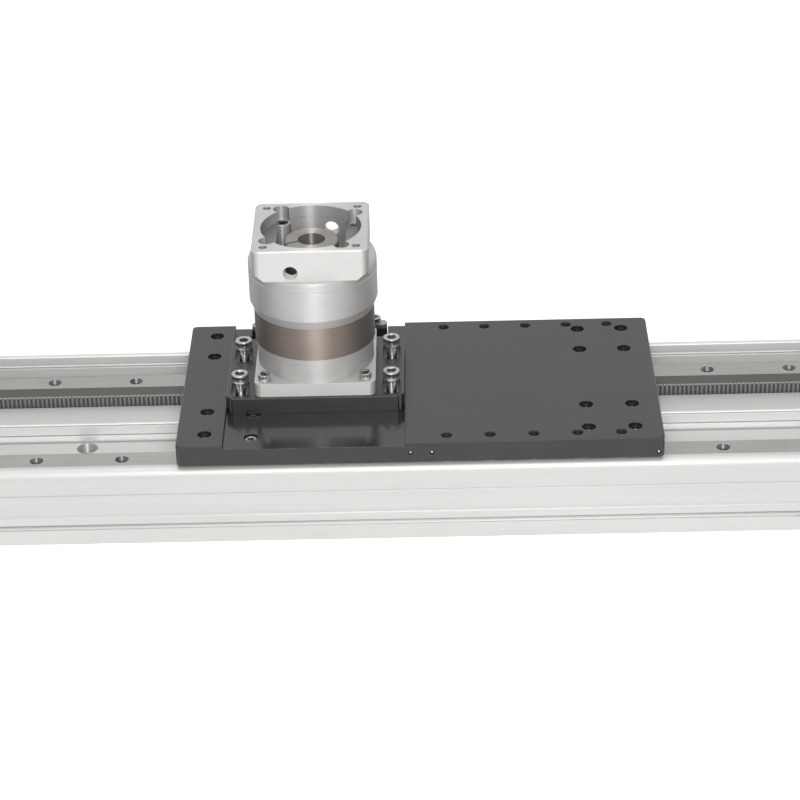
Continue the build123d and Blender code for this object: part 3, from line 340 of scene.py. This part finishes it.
def black_aluminium(name, slots=False):
    """Black anodised plate, finely milled, smoother in its recess; the insides of its slots can be tinted
    lighter as painted light.
    """
    shader = Shader(name)
    marks = shader.noise(shader.scaled((260, 900, 260)), 3.0, 0.6)
    cloud = shader.noise(shader.scaled((25, 25, 25)), 4.0)
    both = shader.mixed(marks, cloud, 0.4)
    color = shader.ramp(both, (0.019, 0.017, 0.018), (0.029, 0.026, 0.027))
    if slots:
        low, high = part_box("adapter_plate")
        sides = shader.distance_from((GEARBOX_X, 0, 0), (1, 0, 0))
        slot_inner, slot_outer = 0.0462, 0.0598
        beside = shader.math("MULTIPLY", shader.math("GREATER_THAN", sides, slot_inner),
                             shader.math("LESS_THAN", sides, slot_outer))
        inside = shader.math("MULTIPLY", shader.between(1, low[1] + 0.001, high[1] - 0.001),
                             shader.between(2, low[2], high[2] - 0.0006))
        # Painted light inside the slots of the adapter plate.
        color = shader.tinted(color, shader.math("MULTIPLY", beside, inside), (0.17, 0.165, 0.165))
    shader.base_color(color)
    recess_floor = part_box("carriage_plate")[1][2] - RECESS_DEPTH
    recess = shader.between(2, recess_floor - FACE_MARGIN, recess_floor + FACE_MARGIN)
    shader.roughness_between(both, 0.26, 0.36, recess, 0.5)
    shader.set(ior=1.53)
    shader.bump(marks, 0.12, 0.00008, 0.0004)
    return shader.material


def ground_steel(name, dark, light, rough_low, rough_high, metallic=0.8, hole_light=None, gap_light=None):
    """Ground steel with fine marks along its length. The rails' holes can be tinted lighter as painted
    light, and the rack's tooth gaps lighter as painted light with darker tips as painted shade.
    """
    shader = Shader(name)
    lines = shader.noise(shader.scaled((12, 1600, 1600)), 4.0, 0.6)
    cloud = shader.noise(shader.scaled((30, 60, 60)))
    both = shader.mixed(lines, cloud, 0.6)
    color = shader.ramp(both, dark, light)
    if hole_light:
        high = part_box("rail_front")[1][2]
        front, rear = centre_of("rail_front").y, centre_of("rail_rear").y
        hole_reach = 0.0049
        holes = shader.math("ADD", shader.between(1, front - hole_reach, front + hole_reach),
                            shader.between(1, rear - hole_reach, rear + hole_reach))
        holes = shader.math("MULTIPLY", holes, shader.between(2, 0.0, high - 0.0001))
        # Painted light on the walls of the rail holes.
        color = shader.tinted(color, holes, hole_light)
        shader.roughness_between(both, rough_low, rough_high, holes, 1.4)
        shader.metallic_between(holes, metallic, 1.0)
        shader.groove_sheen(0.5, False, holes, 0.95)
    else:
        shader.roughness_between(both, rough_low, rough_high)
        shader.set(metallic=metallic)
        shader.groove_sheen(0.5, False)
    if gap_light:
        rack_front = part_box("rack")[0][1]
        tip_depth, gap_depth = 0.0003, 0.0024
        # Painted light in the tooth gaps and painted shade on the tooth tips.
        color = shader.tinted(color, shader.between(1, rack_front + tip_depth, rack_front + gap_depth), gap_light)
        tips = shader.between(1, rack_front - 0.0001, rack_front + tip_depth)
        color = shader.tinted(color, tips, (0.078, 0.074, 0.071))
    shader.base_color(color)
    shader.bump(lines, 0.3, 0.0001, 0.0003)
    return shader.material


def turned_metal(name, dark, light, rough_low, rough_high, metallic=1.0, shade=0.0, sheen=0.9):
    """Turned metal with rings around the gearbox axis."""
    shader = Shader(name)
    rings = shader.turned_rings(0.0004)
    cloud = shader.noise(shader.scaled((50, 50, 50)), 4.0)
    both = shader.mixed(rings, cloud, 0.5)
    color = shader.ramp(both, dark, light)
    if shade > 0:
        color = shader.side_shade(color, shade)
    shader.base_color(color)
    shader.roughness_between(both, rough_low, rough_high)
    shader.set(metallic=metallic)
    shader.groove_sheen(sheen, True)
    shader.bump(rings, 0.35, 0.0001, 0.0003)
    return shader.material


def plain_metal(name, dark, light, rough_low, rough_high):
    """Small steel parts: mottled, with softened edges."""
    shader = Shader(name)
    grain = shader.noise(shader.scaled((900, 900, 900)))
    cloud = shader.noise(shader.scaled((120, 120, 120)))
    both = shader.mixed(grain, cloud, 0.4)
    shader.base_color(shader.ramp(both, dark, light))
    shader.roughness_between(both, rough_low, rough_high)
    shader.set(metallic=1.0)
    shader.bump(grain, 0.15, 0.00005, 0.0002)
    return shader.material


def soft_black(name, dark, light, rough_low, rough_high, grain_scale):
    """Rubber and moulded plastic, and the near-black painted shade of the plate's tapped threads."""
    shader = Shader(name)
    grain = shader.noise(shader.scaled((grain_scale,) * 3), 4.0)
    shader.base_color(shader.ramp(grain, dark, light))
    shader.roughness_between(grain, rough_low, rough_high)
    shader.bump(grain, 0.3, 0.00006, 0.0003)
    return shader.material


def grey(level):
    return (level, level, level)


MATERIALS = {
    "profile_aluminium": extruded_aluminium(),
    "machined_aluminium": machined_aluminium(),
    "black_aluminium": black_aluminium("black_aluminium"),
    "rail_steel": ground_steel("rail_steel", (0.33, 0.325, 0.305), (0.42, 0.41, 0.39), 0.28, 0.4,
                               hole_light=(0.46, 0.455, 0.45)),
    "rack_steel": ground_steel("rack_steel", (0.085, 0.08, 0.078), (0.115, 0.11, 0.107), 0.45, 0.6,
                               metallic=0.5, gap_light=(0.37, 0.36, 0.355)),
    "gear_steel": turned_metal("gear_steel", (0.30, 0.285, 0.27), (0.40, 0.385, 0.37), 0.36, 0.46,
                               metallic=0.9, sheen=0.95),
    "bearing_steel": turned_metal("bearing_steel", grey(0.55), grey(0.66), 0.16, 0.24),
    "brown_steel": turned_metal("brown_steel", (0.295, 0.245, 0.21), (0.395, 0.335, 0.295), 0.48, 0.58,
                                shade=1.15, sheen=0.85),
    "screw_steel": plain_metal("screw_steel", grey(0.10), grey(0.16), 0.3, 0.42),
    "bright_screw_steel": plain_metal("bright_screw_steel", grey(0.36), grey(0.48), 0.22, 0.34),
    "plain_steel": plain_metal("plain_steel", grey(0.42), grey(0.54), 0.25, 0.4),
    "dull_steel": plain_metal("dull_steel", grey(0.28), grey(0.36), 0.4, 0.5),
    "cap_plastic": soft_black("cap_plastic", grey(0.02), grey(0.035), 0.45, 0.6, 1500),
    "black_rubber": soft_black("black_rubber", grey(0.012), grey(0.025), 0.6, 0.8, 700),
    "bush_bronze": turned_metal("bush_bronze", (0.52, 0.36, 0.18), (0.68, 0.50, 0.28), 0.24, 0.34),
}
# Nodes and pieces with a material of their own
OWN_MATERIALS = {
    "adapter_plate": black_aluminium("black_aluminium_slotted", slots=True),
    # Painted light: a lighter copy of the screw steel for the block screws in the recess.
    "block_screws": plain_metal("lit_screw_steel", grey(0.30), grey(0.42), 0.25, 0.36),
    # Painted shade: the threads in the plate's tapped holes are darker than the plate.
    "carriage_threads": soft_black("shaded_thread_black", grey(0.006), grey(0.012), 0.5, 0.65, 900),
}
SLOT_OF_NODE = {part["node"]: part["material_slot"] for part in frame["record"]["subparts"]}


def dress_cad_nodes():
    for name, slot in SLOT_OF_NODE.items():
        piece = node_object(name)
        material = OWN_MATERIALS.get(name, MATERIALS[slot])
        for material_slot in piece.material_slots:
            material_slot.material = material
        if not piece.material_slots:
            piece.data.materials.append(material)


# Mesh helpers


def solid_boxes(name):
    """Lowest and highest corner of each solid of a node."""
    source = node_object(name)
    mesh = bmesh.new()
    mesh.from_mesh(source.data)
    mesh.transform(source.matrix_world)
    bmesh.ops.remove_doubles(mesh, verts=mesh.verts, dist=1e-6)
    unseen = set(mesh.verts)
    boxes = []
    while unseen:
        first = unseen.pop()
        island = [first]
        for vertex in island:
            for edge in vertex.link_edges:
                other = edge.other_vert(vertex)
                if other in unseen:
                    unseen.remove(other)
                    island.append(other)
        low = Vector([min(v.co[i] for v in island) for i in range(3)])
        high = Vector([max(v.co[i] for v in island) for i in range(3)])
        boxes.append((low, high))
    mesh.free()
    return sorted(boxes, key=lambda box: tuple(round(value, 6) for value in box[0]))


def lathe(mesh, place, rings, caps=(True, True)):
    """Joins rings around a local z axis. A ring is (radius, height), and a radius may be a function of the
    angle and the height."""
    loops = []
    for radius, height in rings:
        loop = []
        for i in range(ROUND_STEPS):
            angle = 2 * math.pi * i / ROUND_STEPS
            here = radius(angle, height) if callable(radius) else radius
            corner = Vector((here * math.cos(angle), here * math.sin(angle), height))
            loop.append(mesh.verts.new(place @ corner))
        loops.append(loop)
    for lower, upper in zip(loops, loops[1:]):
        for i in range(ROUND_STEPS):
            j = (i + 1) % ROUND_STEPS
            mesh.faces.new((lower[i], lower[j], upper[j], upper[i]))
    if caps[0]:
        mesh.faces.new(list(reversed(loops[0])))
    if caps[1]:
        mesh.faces.new(loops[-1])


def hexagon(across_flats):
    """Radius of a hexagon at an angle."""
    def radius(angle, height):
        return across_flats / 2 / math.cos((angle + math.pi / 6) % (math.pi / 3) - math.pi / 6)
    return radius


def knurl(high, depth):
    """Radius with a fine ridge at every second step."""
    def radius(angle, height):
        step = round(angle * ROUND_STEPS / (2 * math.pi))
        return high - depth * (step % 2)
    return radius


def thread(crest, depth, pitch):
    """Radius of a screw thread that winds around z, between its crest and its root."""
    def radius(angle, height):
        phase = (height / pitch + angle / (2 * math.pi)) % 1
        return crest - depth * abs(2 * phase - 1)
    return radius


def thread_rings(radius, low, high):
    """Rings of a thread between two heights, upwards or downwards."""
    pitch = THREAD_PITCH[radius]
    shape = thread(radius, THREAD_SHARE * pitch, pitch)
    count = max(2, round(abs(high - low) / pitch * 6))
    return [(shape, low + (high - low) * i / count) for i in range(count + 1)]


def cap_screw(mesh, place, size, length, threaded=False, knurled=False):
    """A cap screw whose head stands on z = 0, with a hexagon socket."""
    radius, head, height, socket = size
    edge = head * 0.1
    corner = socket / math.sqrt(3)
    if threaded:
        shank = thread_rings(radius, -length, 0)
    else:
        shank = [(radius * 0.8, -length), (radius, -length + radius * 0.2), (radius, 0)]
    side = [(head - edge / 2, 0), (head, edge / 2)]
    if knurled:
        ridge = knurl(head, head * 0.035)
        side += [(head, height * 0.14), (ridge, height * 0.17), (ridge, height * 0.8), (head, height * 0.83)]
    side += [(head, height - edge), (head - edge / 3, height - edge / 3), (head - edge, height)]
    inside = [(corner * 1.07, height), (hexagon(socket), height - corner * 0.12)]
    inside += [(hexagon(socket), height * 0.45), (socket * 0.2, height * 0.4)]
    lathe(mesh, place, shank + side + inside)


def finished_piece(name, mesh, body, slot, node=None, sharp=35):
    """Turns a bmesh into an object that rides on a body and may replace a node."""
    bmesh.ops.recalc_face_normals(mesh, faces=mesh.faces)
    data = bpy.data.meshes.new(name)
    mesh.to_mesh(data)
    mesh.free()
    data.polygons.foreach_set("use_smooth", [True] * len(data.polygons))
    data.set_sharp_from_angle(angle=math.radians(sharp))
    data.materials.append(OWN_MATERIALS.get(node or name, MATERIALS[slot]))
    made = bpy.data.objects.new(name, data)
    bpy.context.collection.objects.link(made)
    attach(made, body)
    if node:
        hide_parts(node)


# Screws and nuts with their sockets, knurls and threads


def upright_screws(node, body, size, slot=None, threaded=False, knurled=False, upside_down=False):
    """Detailed screws in the places of a node's plain ones, with axes along z."""
    mesh = bmesh.new()
    for low, high in solid_boxes(node):
        middle = (low + high) / 2
        length = high.z - low.z - size[2]
        turn = Matrix.Rotation(steady_turn(middle), 4, "Z")
        if upside_down:
            seat = Matrix.Translation((middle.x, middle.y, low.z + size[2]))
            seat = seat @ Matrix.Rotation(math.pi, 4, "X")
        else:
            seat = Matrix.Translation((middle.x, middle.y, high.z - size[2]))
        cap_screw(mesh, seat @ turn, size, length, threaded, knurled)
    finished_piece(node + "_detailed", mesh, body, slot or SLOT_OF_NODE[node], node)


def steady_turn(place):
    """A turn for each screw that looks like chance but stays the same."""
    return (math.sin(place.x * 9173 + place.y * 3571) * 437.5) % (math.pi / 3)


def end_plate_screws():
    mesh = bmesh.new()
    for low, high in solid_boxes("end_plate_screws"):
        middle = (low + high) / 2
        side = 1 if middle.x > 0 else -1
        length = high.x - low.x - M5[2]
        seat_x = high.x - M5[2] if side > 0 else low.x + M5[2]
        place = Matrix.Translation((seat_x, middle.y, middle.z))
        place = place @ Matrix.Rotation(side * math.pi / 2, 4, "Y")
        cap_screw(mesh, place @ Matrix.Rotation(steady_turn(middle), 4, "Z"), M5, length)
    finished_piece("end_plate_screws_detailed", mesh, "base", "screw_steel", "end_plate_screws")


def hub_clamp_screw():
    mesh = bmesh.new()
    low, high = solid_boxes("hub_clamp_screw")[0]
    middle = (low + high) / 2
    place = Matrix.Translation((middle.x, low.y + M5[2], middle.z)) @ Matrix.Rotation(math.pi / 2, 4, "X")
    cap_screw(mesh, place, M5, high.y - low.y - M5[2])
    finished_piece("hub_clamp_screw_detailed", mesh, "input_shaft", "screw_steel", "hub_clamp_screw")


def jack_screws():
    """Grub screws with threads, a cone point and a socket at the rear."""
    mesh = bmesh.new()
    radius = M5[0]
    inner = M5[3] * 0.6
    for low, high in solid_boxes("jack_screws"):
        middle = (low + high) / 2
        length = high.y - low.y
        place = Matrix.Translation((middle.x, low.y, middle.z)) @ Matrix.Rotation(-math.pi / 2, 4, "X")
        rings = [(radius * 0.45, 0), (radius * 0.8, radius * 0.4)]
        rings += thread_rings(radius, radius * 0.6, length - 0.0003)
        rings += [(inner * 0.6, length), (hexagon(inner), length - 0.0002)]
        rings += [(hexagon(inner), length - 0.0025)]
        lathe(mesh, place, rings)
    finished_piece("jack_screws_detailed", mesh, "carriage", "screw_steel", "jack_screws")


def jack_nuts():
    """Hexagon nuts with chamfered corners."""
    mesh = bmesh.new()
    for low, high in solid_boxes("jack_nuts"):
        middle = (low + high) / 2
        thickness = high.y - low.y
        flats = min(high.x - low.x, high.z - low.z)
        corner = flats / math.sqrt(3)
        sides = hexagon(flats)
        place = Matrix.Translation((middle.x, low.y, middle.z)) @ Matrix.Rotation(-math.pi / 2, 4, "X")
        if high.x - low.x <= high.z - low.z:
            place = place @ Matrix.Rotation(math.pi / 6, 4, "Z")

        def within(limit):
            return lambda angle, height: min(limit, sides(angle, height))

        drop = thickness * 0.12
        bore = M5[0] * 1.02
        rings = [(bore, 0), (flats * 0.47, 0), (within(corner), drop), (within(corner), thickness - drop)]
        rings += [(flats * 0.47, thickness), (bore, thickness), (bore, 0)]
        lathe(mesh, place, rings, caps=(False, False))
    bmesh.ops.remove_doubles(mesh, verts=mesh.verts, dist=1e-7)
    finished_piece("jack_nuts_detailed", mesh, "carriage", "screw_steel", "jack_nuts")


def tapped_holes(name, places, radius, depth, body, slot):
    """Threads that line open holes, from their mouths down."""
    mesh = bmesh.new()
    pitch = THREAD_PITCH[radius]
    wall = radius * 0.998
    rings = [(wall, -0.00002), (radius - THREAD_SHARE * pitch, -pitch * 0.6)]
    rings += [(thread(wall, THREAD_SHARE * pitch, pitch), -pitch * (0.8 + i / 6))
              for i in range(round(depth / pitch * 6) - 6)]
    for place in places:
        lathe(mesh, Matrix.Translation(place), rings, caps=(False, False))
    finished_piece(name, mesh, body, slot)


# Other pieces


def stop_bumpers():
    """Rubber bumpers with a washer-like collar at the foot and a rounded nose."""
    rubber = bmesh.new()
    for low, high in solid_boxes("stop_bumpers"):
        middle = (low + high) / 2
        side = 1 if middle.x > 0 else -1
        length = high.x - low.x
        radius = (high.y - low.y) / 2
        foot_x = high.x if side > 0 else low.x
        place = Matrix.Translation((foot_x, middle.y, middle.z))
        place = place @ Matrix.Rotation(-side * math.pi / 2, 4, "Y")
        slim = radius * 0.93
        rings = [(radius, 0), (radius, 0.0012), (slim, 0.0013), (slim, length * 0.3)]
        for i in range(7):
            turn = math.radians(15 * i)
            rings.append((slim * (0.62 + 0.38 * math.cos(turn)), length * (0.72 + 0.28 * math.sin(turn))))
        lathe(rubber, place, rings)
    finished_piece("stop_bumpers_detailed", rubber, "base", "black_rubber", "stop_bumpers")


def retaining_ring():
    """A spring ring for bores, with a gap at the rear and two eyes."""
    low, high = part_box("retaining_ring")
    centre = centre_of("retaining_ring")
    outer = (high[0] - low[0]) / 2
    thickness = high[2] - low[2]
    eye, eye_hole = 0.0024, 0.001
    gap = math.radians(11)
    width = 0.0030
    mesh = bmesh.new()
    steps = 72
    loops = []
    for i in range(steps + 1):
        turn = math.pi / 2 + gap + (2 * math.pi - 2 * gap) * i / steps
        inner = outer - width * (0.72 + 0.28 * math.cos(turn + math.pi / 2))
        loop = []
        for radius, z in ((outer, low[2]), (outer, high[2]), (inner, high[2]), (inner, low[2])):
            corner = (centre.x + radius * math.cos(turn), centre.y + radius * math.sin(turn), z)
            loop.append(mesh.verts.new(corner))
        loops.append(loop)
    for lower, upper in zip(loops, loops[1:]):
        for i in range(4):
            j = (i + 1) % 4
            mesh.faces.new((lower[i], lower[j], upper[j], upper[i]))
    mesh.faces.new(loops[0])
    mesh.faces.new(loops[-1])
    for side in (-1, 1):
        turn = math.pi / 2 + side * (gap + 0.03)
        reach = outer - eye
        spot = (centre.x + reach * math.cos(turn), centre.y + reach * math.sin(turn), low[2])
        place = Matrix.Translation(spot)
        rings = [(eye_hole, 0), (eye, 0), (eye, thickness), (eye_hole, thickness), (eye_hole, 0)]
        lathe(mesh, place, rings, caps=(False, False))
    finished_piece("retaining_ring_detailed", mesh, "gearbox", "plain_steel", "retaining_ring")


def bearing_shield():
    """The sheet steel shield between the rings of the upper bearing."""
    outer_low, outer_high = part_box("input_bearing_outer_ring")
    inner_low, inner_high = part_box("input_bearing_inner_ring")
    centre = centre_of("input_bearing_outer_ring")
    ring_wall, clearance = 0.0036, 0.0003
    outside = (outer_high[0] - outer_low[0]) / 2 - ring_wall
    inside = (inner_high[0] - inner_low[0]) / 2 + clearance
    top = outer_high[2] - clearance
    place = Matrix.Translation((centre.x, centre.y, 0))
    mesh = bmesh.new()
    rings = [(inside, top - 0.0016), (inside, top - 0.0006), (inside + 0.0012, top - 0.0006)]
    rings += [(outside - 0.0008, top - 0.0002), (outside - 0.0002, top), (outside, top - 0.0004)]
    rings += [(outside, top - 0.0016), (inside, top - 0.0016)]
    lathe(mesh, place, rings, caps=(False, False))
    finished_piece("bearing_shield", mesh, "gearbox", "plain_steel")


def block_cap_screws():
    """Small screws in the end seals of the guide blocks."""
    size = (0.0013, 0.0024, 0.0011, 0.0014)
    length = 0.002
    inset_y, inset_z = 0.0045, 0.0035
    mesh = bmesh.new()
    for place_name in ("front_left", "front_right", "rear_left", "rear_right"):
        for low, high in solid_boxes("block_seals_" + place_name):
            middle = (low + high) / 2
            block = centre_of("block_" + place_name)
            side = 1 if middle.x > block.x else -1
            face_x = high.x if side > 0 else low.x
            reach_y = (high.y - low.y) / 2 - inset_y
            for dy in (-reach_y, reach_y):
                for z in (low.z + inset_z, high.z - inset_z):
                    spot = Matrix.Translation((face_x, middle.y + dy, z))
                    cap_screw(mesh, spot @ Matrix.Rotation(side * math.pi / 2, 4, "Y"), size, length)
    finished_piece("block_cap_screws", mesh, "carriage", "screw_steel")


def front_pins():
    """Steel pins with round ends in the small holes of the plate's front edge."""
    low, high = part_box("carriage_plate")
    middle = (low[0] + high[0]) / 2
    radius = 0.00125
    dome = radius * 0.8
    length, sunk = 0.006, 0.0012
    mesh = bmesh.new()
    for dx, dz in ((-0.0065, 0.0065), (0.0082, 0.0065), (0.1635, 0.0033)):
        place = Matrix.Translation((middle + dx, low[1] + sunk, low[2] + dz))
        place = place @ Matrix.Rotation(math.pi / 2, 4, "X")
        rings = [(radius, -length), (radius, 0)]
        rings += [(radius * math.cos(turn), dome * math.sin(turn)) for turn in (0.3, 0.6, 0.9, 1.2, 1.45)]
        lathe(mesh, place, rings)
    finished_piece("front_pins", mesh, "carriage", "bright_screw_steel", sharp=80)


def pattern_places():
    """Mouths of the tapped holes in the right part of the carriage plate."""
    low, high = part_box("carriage_plate")
    middle = (low[0] + high[0]) / 2
    first, pitch, inset = 0.0183, 0.030, 0.009
    places = []
    for i in range(5):
        for y in (low[1] + inset, high[1] - inset):
            places.append((middle + first + pitch * i, y, high[2]))
    return places


def motor_hole_places():
    """Mouths of the tapped holes in the corners of the motor flange."""
    bolt_circle_radius = 0.045
    reach = bolt_circle_radius / math.sqrt(2)
    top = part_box("motor_flange")[1][2]
    return [(GEARBOX_X + dx, GEARBOX_Y + dy, top) for dx in (-reach, reach) for dy in (-reach, reach)]


# Stage


def camera():
    """The photograph's camera."""
    pitch, yaw, roll = [math.radians(angle) for angle in (CAMERA_PITCH, CAMERA_YAW, CAMERA_ROLL)]
    forward = Vector((math.sin(yaw) * math.cos(pitch), math.cos(yaw) * math.cos(pitch), -math.sin(pitch)))
    right = Vector((math.cos(yaw), -math.sin(yaw), 0))
    up = right.cross(forward)
    turned_right = right * math.cos(roll) + up * math.sin(roll)
    turned_up = -right * math.sin(roll) + up * math.cos(roll)
    data = bpy.data.cameras.new("camera")
    data.lens = CAMERA_LENS
    data.sensor_width = SENSOR_WIDTH
    data.clip_start, data.clip_end = 0.05, 50
    made = bpy.data.objects.new("camera", data)
    bpy.context.collection.objects.link(made)
    matrix = Matrix((turned_right, turned_up, -forward)).transposed().to_4x4()
    matrix.translation = CAMERA_PLACE
    made.matrix_world = matrix
    bpy.context.scene.camera = made


def softbox(name, place, target, size, power):
    """A rectangular area lamp that faces a target."""
    data = bpy.data.lights.new(name, "AREA")
    data.shape = "RECTANGLE"
    data.size, data.size_y = size
    data.energy = power
    made = bpy.data.objects.new(name, data)
    made.location = place
    made.rotation_mode = "QUATERNION"
    made.rotation_quaternion = (Vector(target) - Vector(place)).to_track_quat("-Z", "Y")
    bpy.context.collection.objects.link(made)


def world(strength):
    """White where it is seen or mirrored, softer where it lights the object."""
    made = bpy.data.worlds.new("studio")
    made.use_nodes = True
    tree = made.node_tree
    tree.nodes.clear()
    output = tree.nodes.new("ShaderNodeOutputWorld")
    mix = tree.nodes.new("ShaderNodeMixShader")
    for slot, level in ((1, strength), (2, 1.0)):
        background = tree.nodes.new("ShaderNodeBackground")
        background.inputs["Color"].default_value = (1, 1, 1, 1)
        background.inputs["Strength"].default_value = level
        tree.links.new(background.outputs[0], mix.inputs[slot])
    path = tree.nodes.new("ShaderNodeLightPath")
    seen = path.outputs["Is Camera Ray"]
    for ray in ("Is Glossy Ray", "Is Transmission Ray"):
        either = tree.nodes.new("ShaderNodeMath")
        either.operation = "MAXIMUM"
        tree.links.new(seen, either.inputs[0])
        tree.links.new(path.outputs[ray], either.inputs[1])
        seen = either.outputs[0]
    tree.links.new(seen, mix.inputs["Fac"])
    tree.links.new(mix.outputs[0], output.inputs["Surface"])
    bpy.context.scene.world = made


def floor(glow):
    """A wide pale floor that keeps the object's shadow and is white where it is lit."""
    mesh = bpy.data.meshes.new("floor")
    half = 12.0
    corners = [(-half, -half, 0), (half, -half, 0), (half, half, 0), (-half, half, 0)]
    mesh.from_pydata(corners, [], [(0, 1, 2, 3)])
    made = bpy.data.objects.new("floor", mesh)
    bpy.context.collection.objects.link(made)
    shader = Shader("floor")
    cloud = shader.noise(shader.scaled((6, 6, 6)))
    shader.base_color(shader.ramp(cloud, grey(0.93), grey(0.95)))
    shader.set(roughness=0.9)
    shader.principled.inputs["Emission Color"].default_value = (1, 1, 1, 1)
    path = shader.node("ShaderNodeLightPath")
    seen = shader.math("MAXIMUM", path.outputs["Is Camera Ray"], path.outputs["Is Glossy Ray"])
    shader.link(shader.math("MULTIPLY", seen, glow), shader.principled.inputs["Emission Strength"])
    mesh.materials.append(shader.material)


def lamps():
    middle = (-0.05, 0, 0.1)
    softbox("front_light", (0.05, -2.0, 1.3), middle, (0.8, 0.6), 19)
    softbox("strip_light", (0.0, -1.9, 1.25), middle, (0.07, 0.8), 5.5)
    softbox("top_light", (0.0, -0.2, 1.9), middle, (1.8, 1.2), 7.5)
    softbox("ridge_light", (-0.22, 0.5, 1.8), (-0.22, 0, 0.1), (0.06, 1.8), 3)


dress_cad_nodes()
upright_screws("rail_screws", "base", M5)
upright_screws("rack_screws", "base", M5, upside_down=True)
upright_screws("block_screws", "carriage", M5)
upright_screws("clamp_screws", "carriage", M6_WIDE, threaded=True, knurled=True)
upright_screws("flange_screws", "gearbox", M5, knurled=True)
upright_screws("adjuster_bar_screws", "carriage", M5, knurled=True)
upright_screws("tie_screws", "gearbox", M5)
end_plate_screws()
hub_clamp_screw()
jack_screws()
jack_nuts()
stop_bumpers()
retaining_ring()
bearing_shield()
block_cap_screws()
front_pins()
tapped_holes("carriage_threads", pattern_places(), 0.004, 0.014, "carriage", "black_aluminium")
tapped_holes("motor_threads", motor_hole_places(), 0.003, 0.015, "gearbox", "dull_steel")
camera()
world(0.3)
floor(0.6)
lamps()
bpy.context.scene.view_settings.view_transform = "Standard"
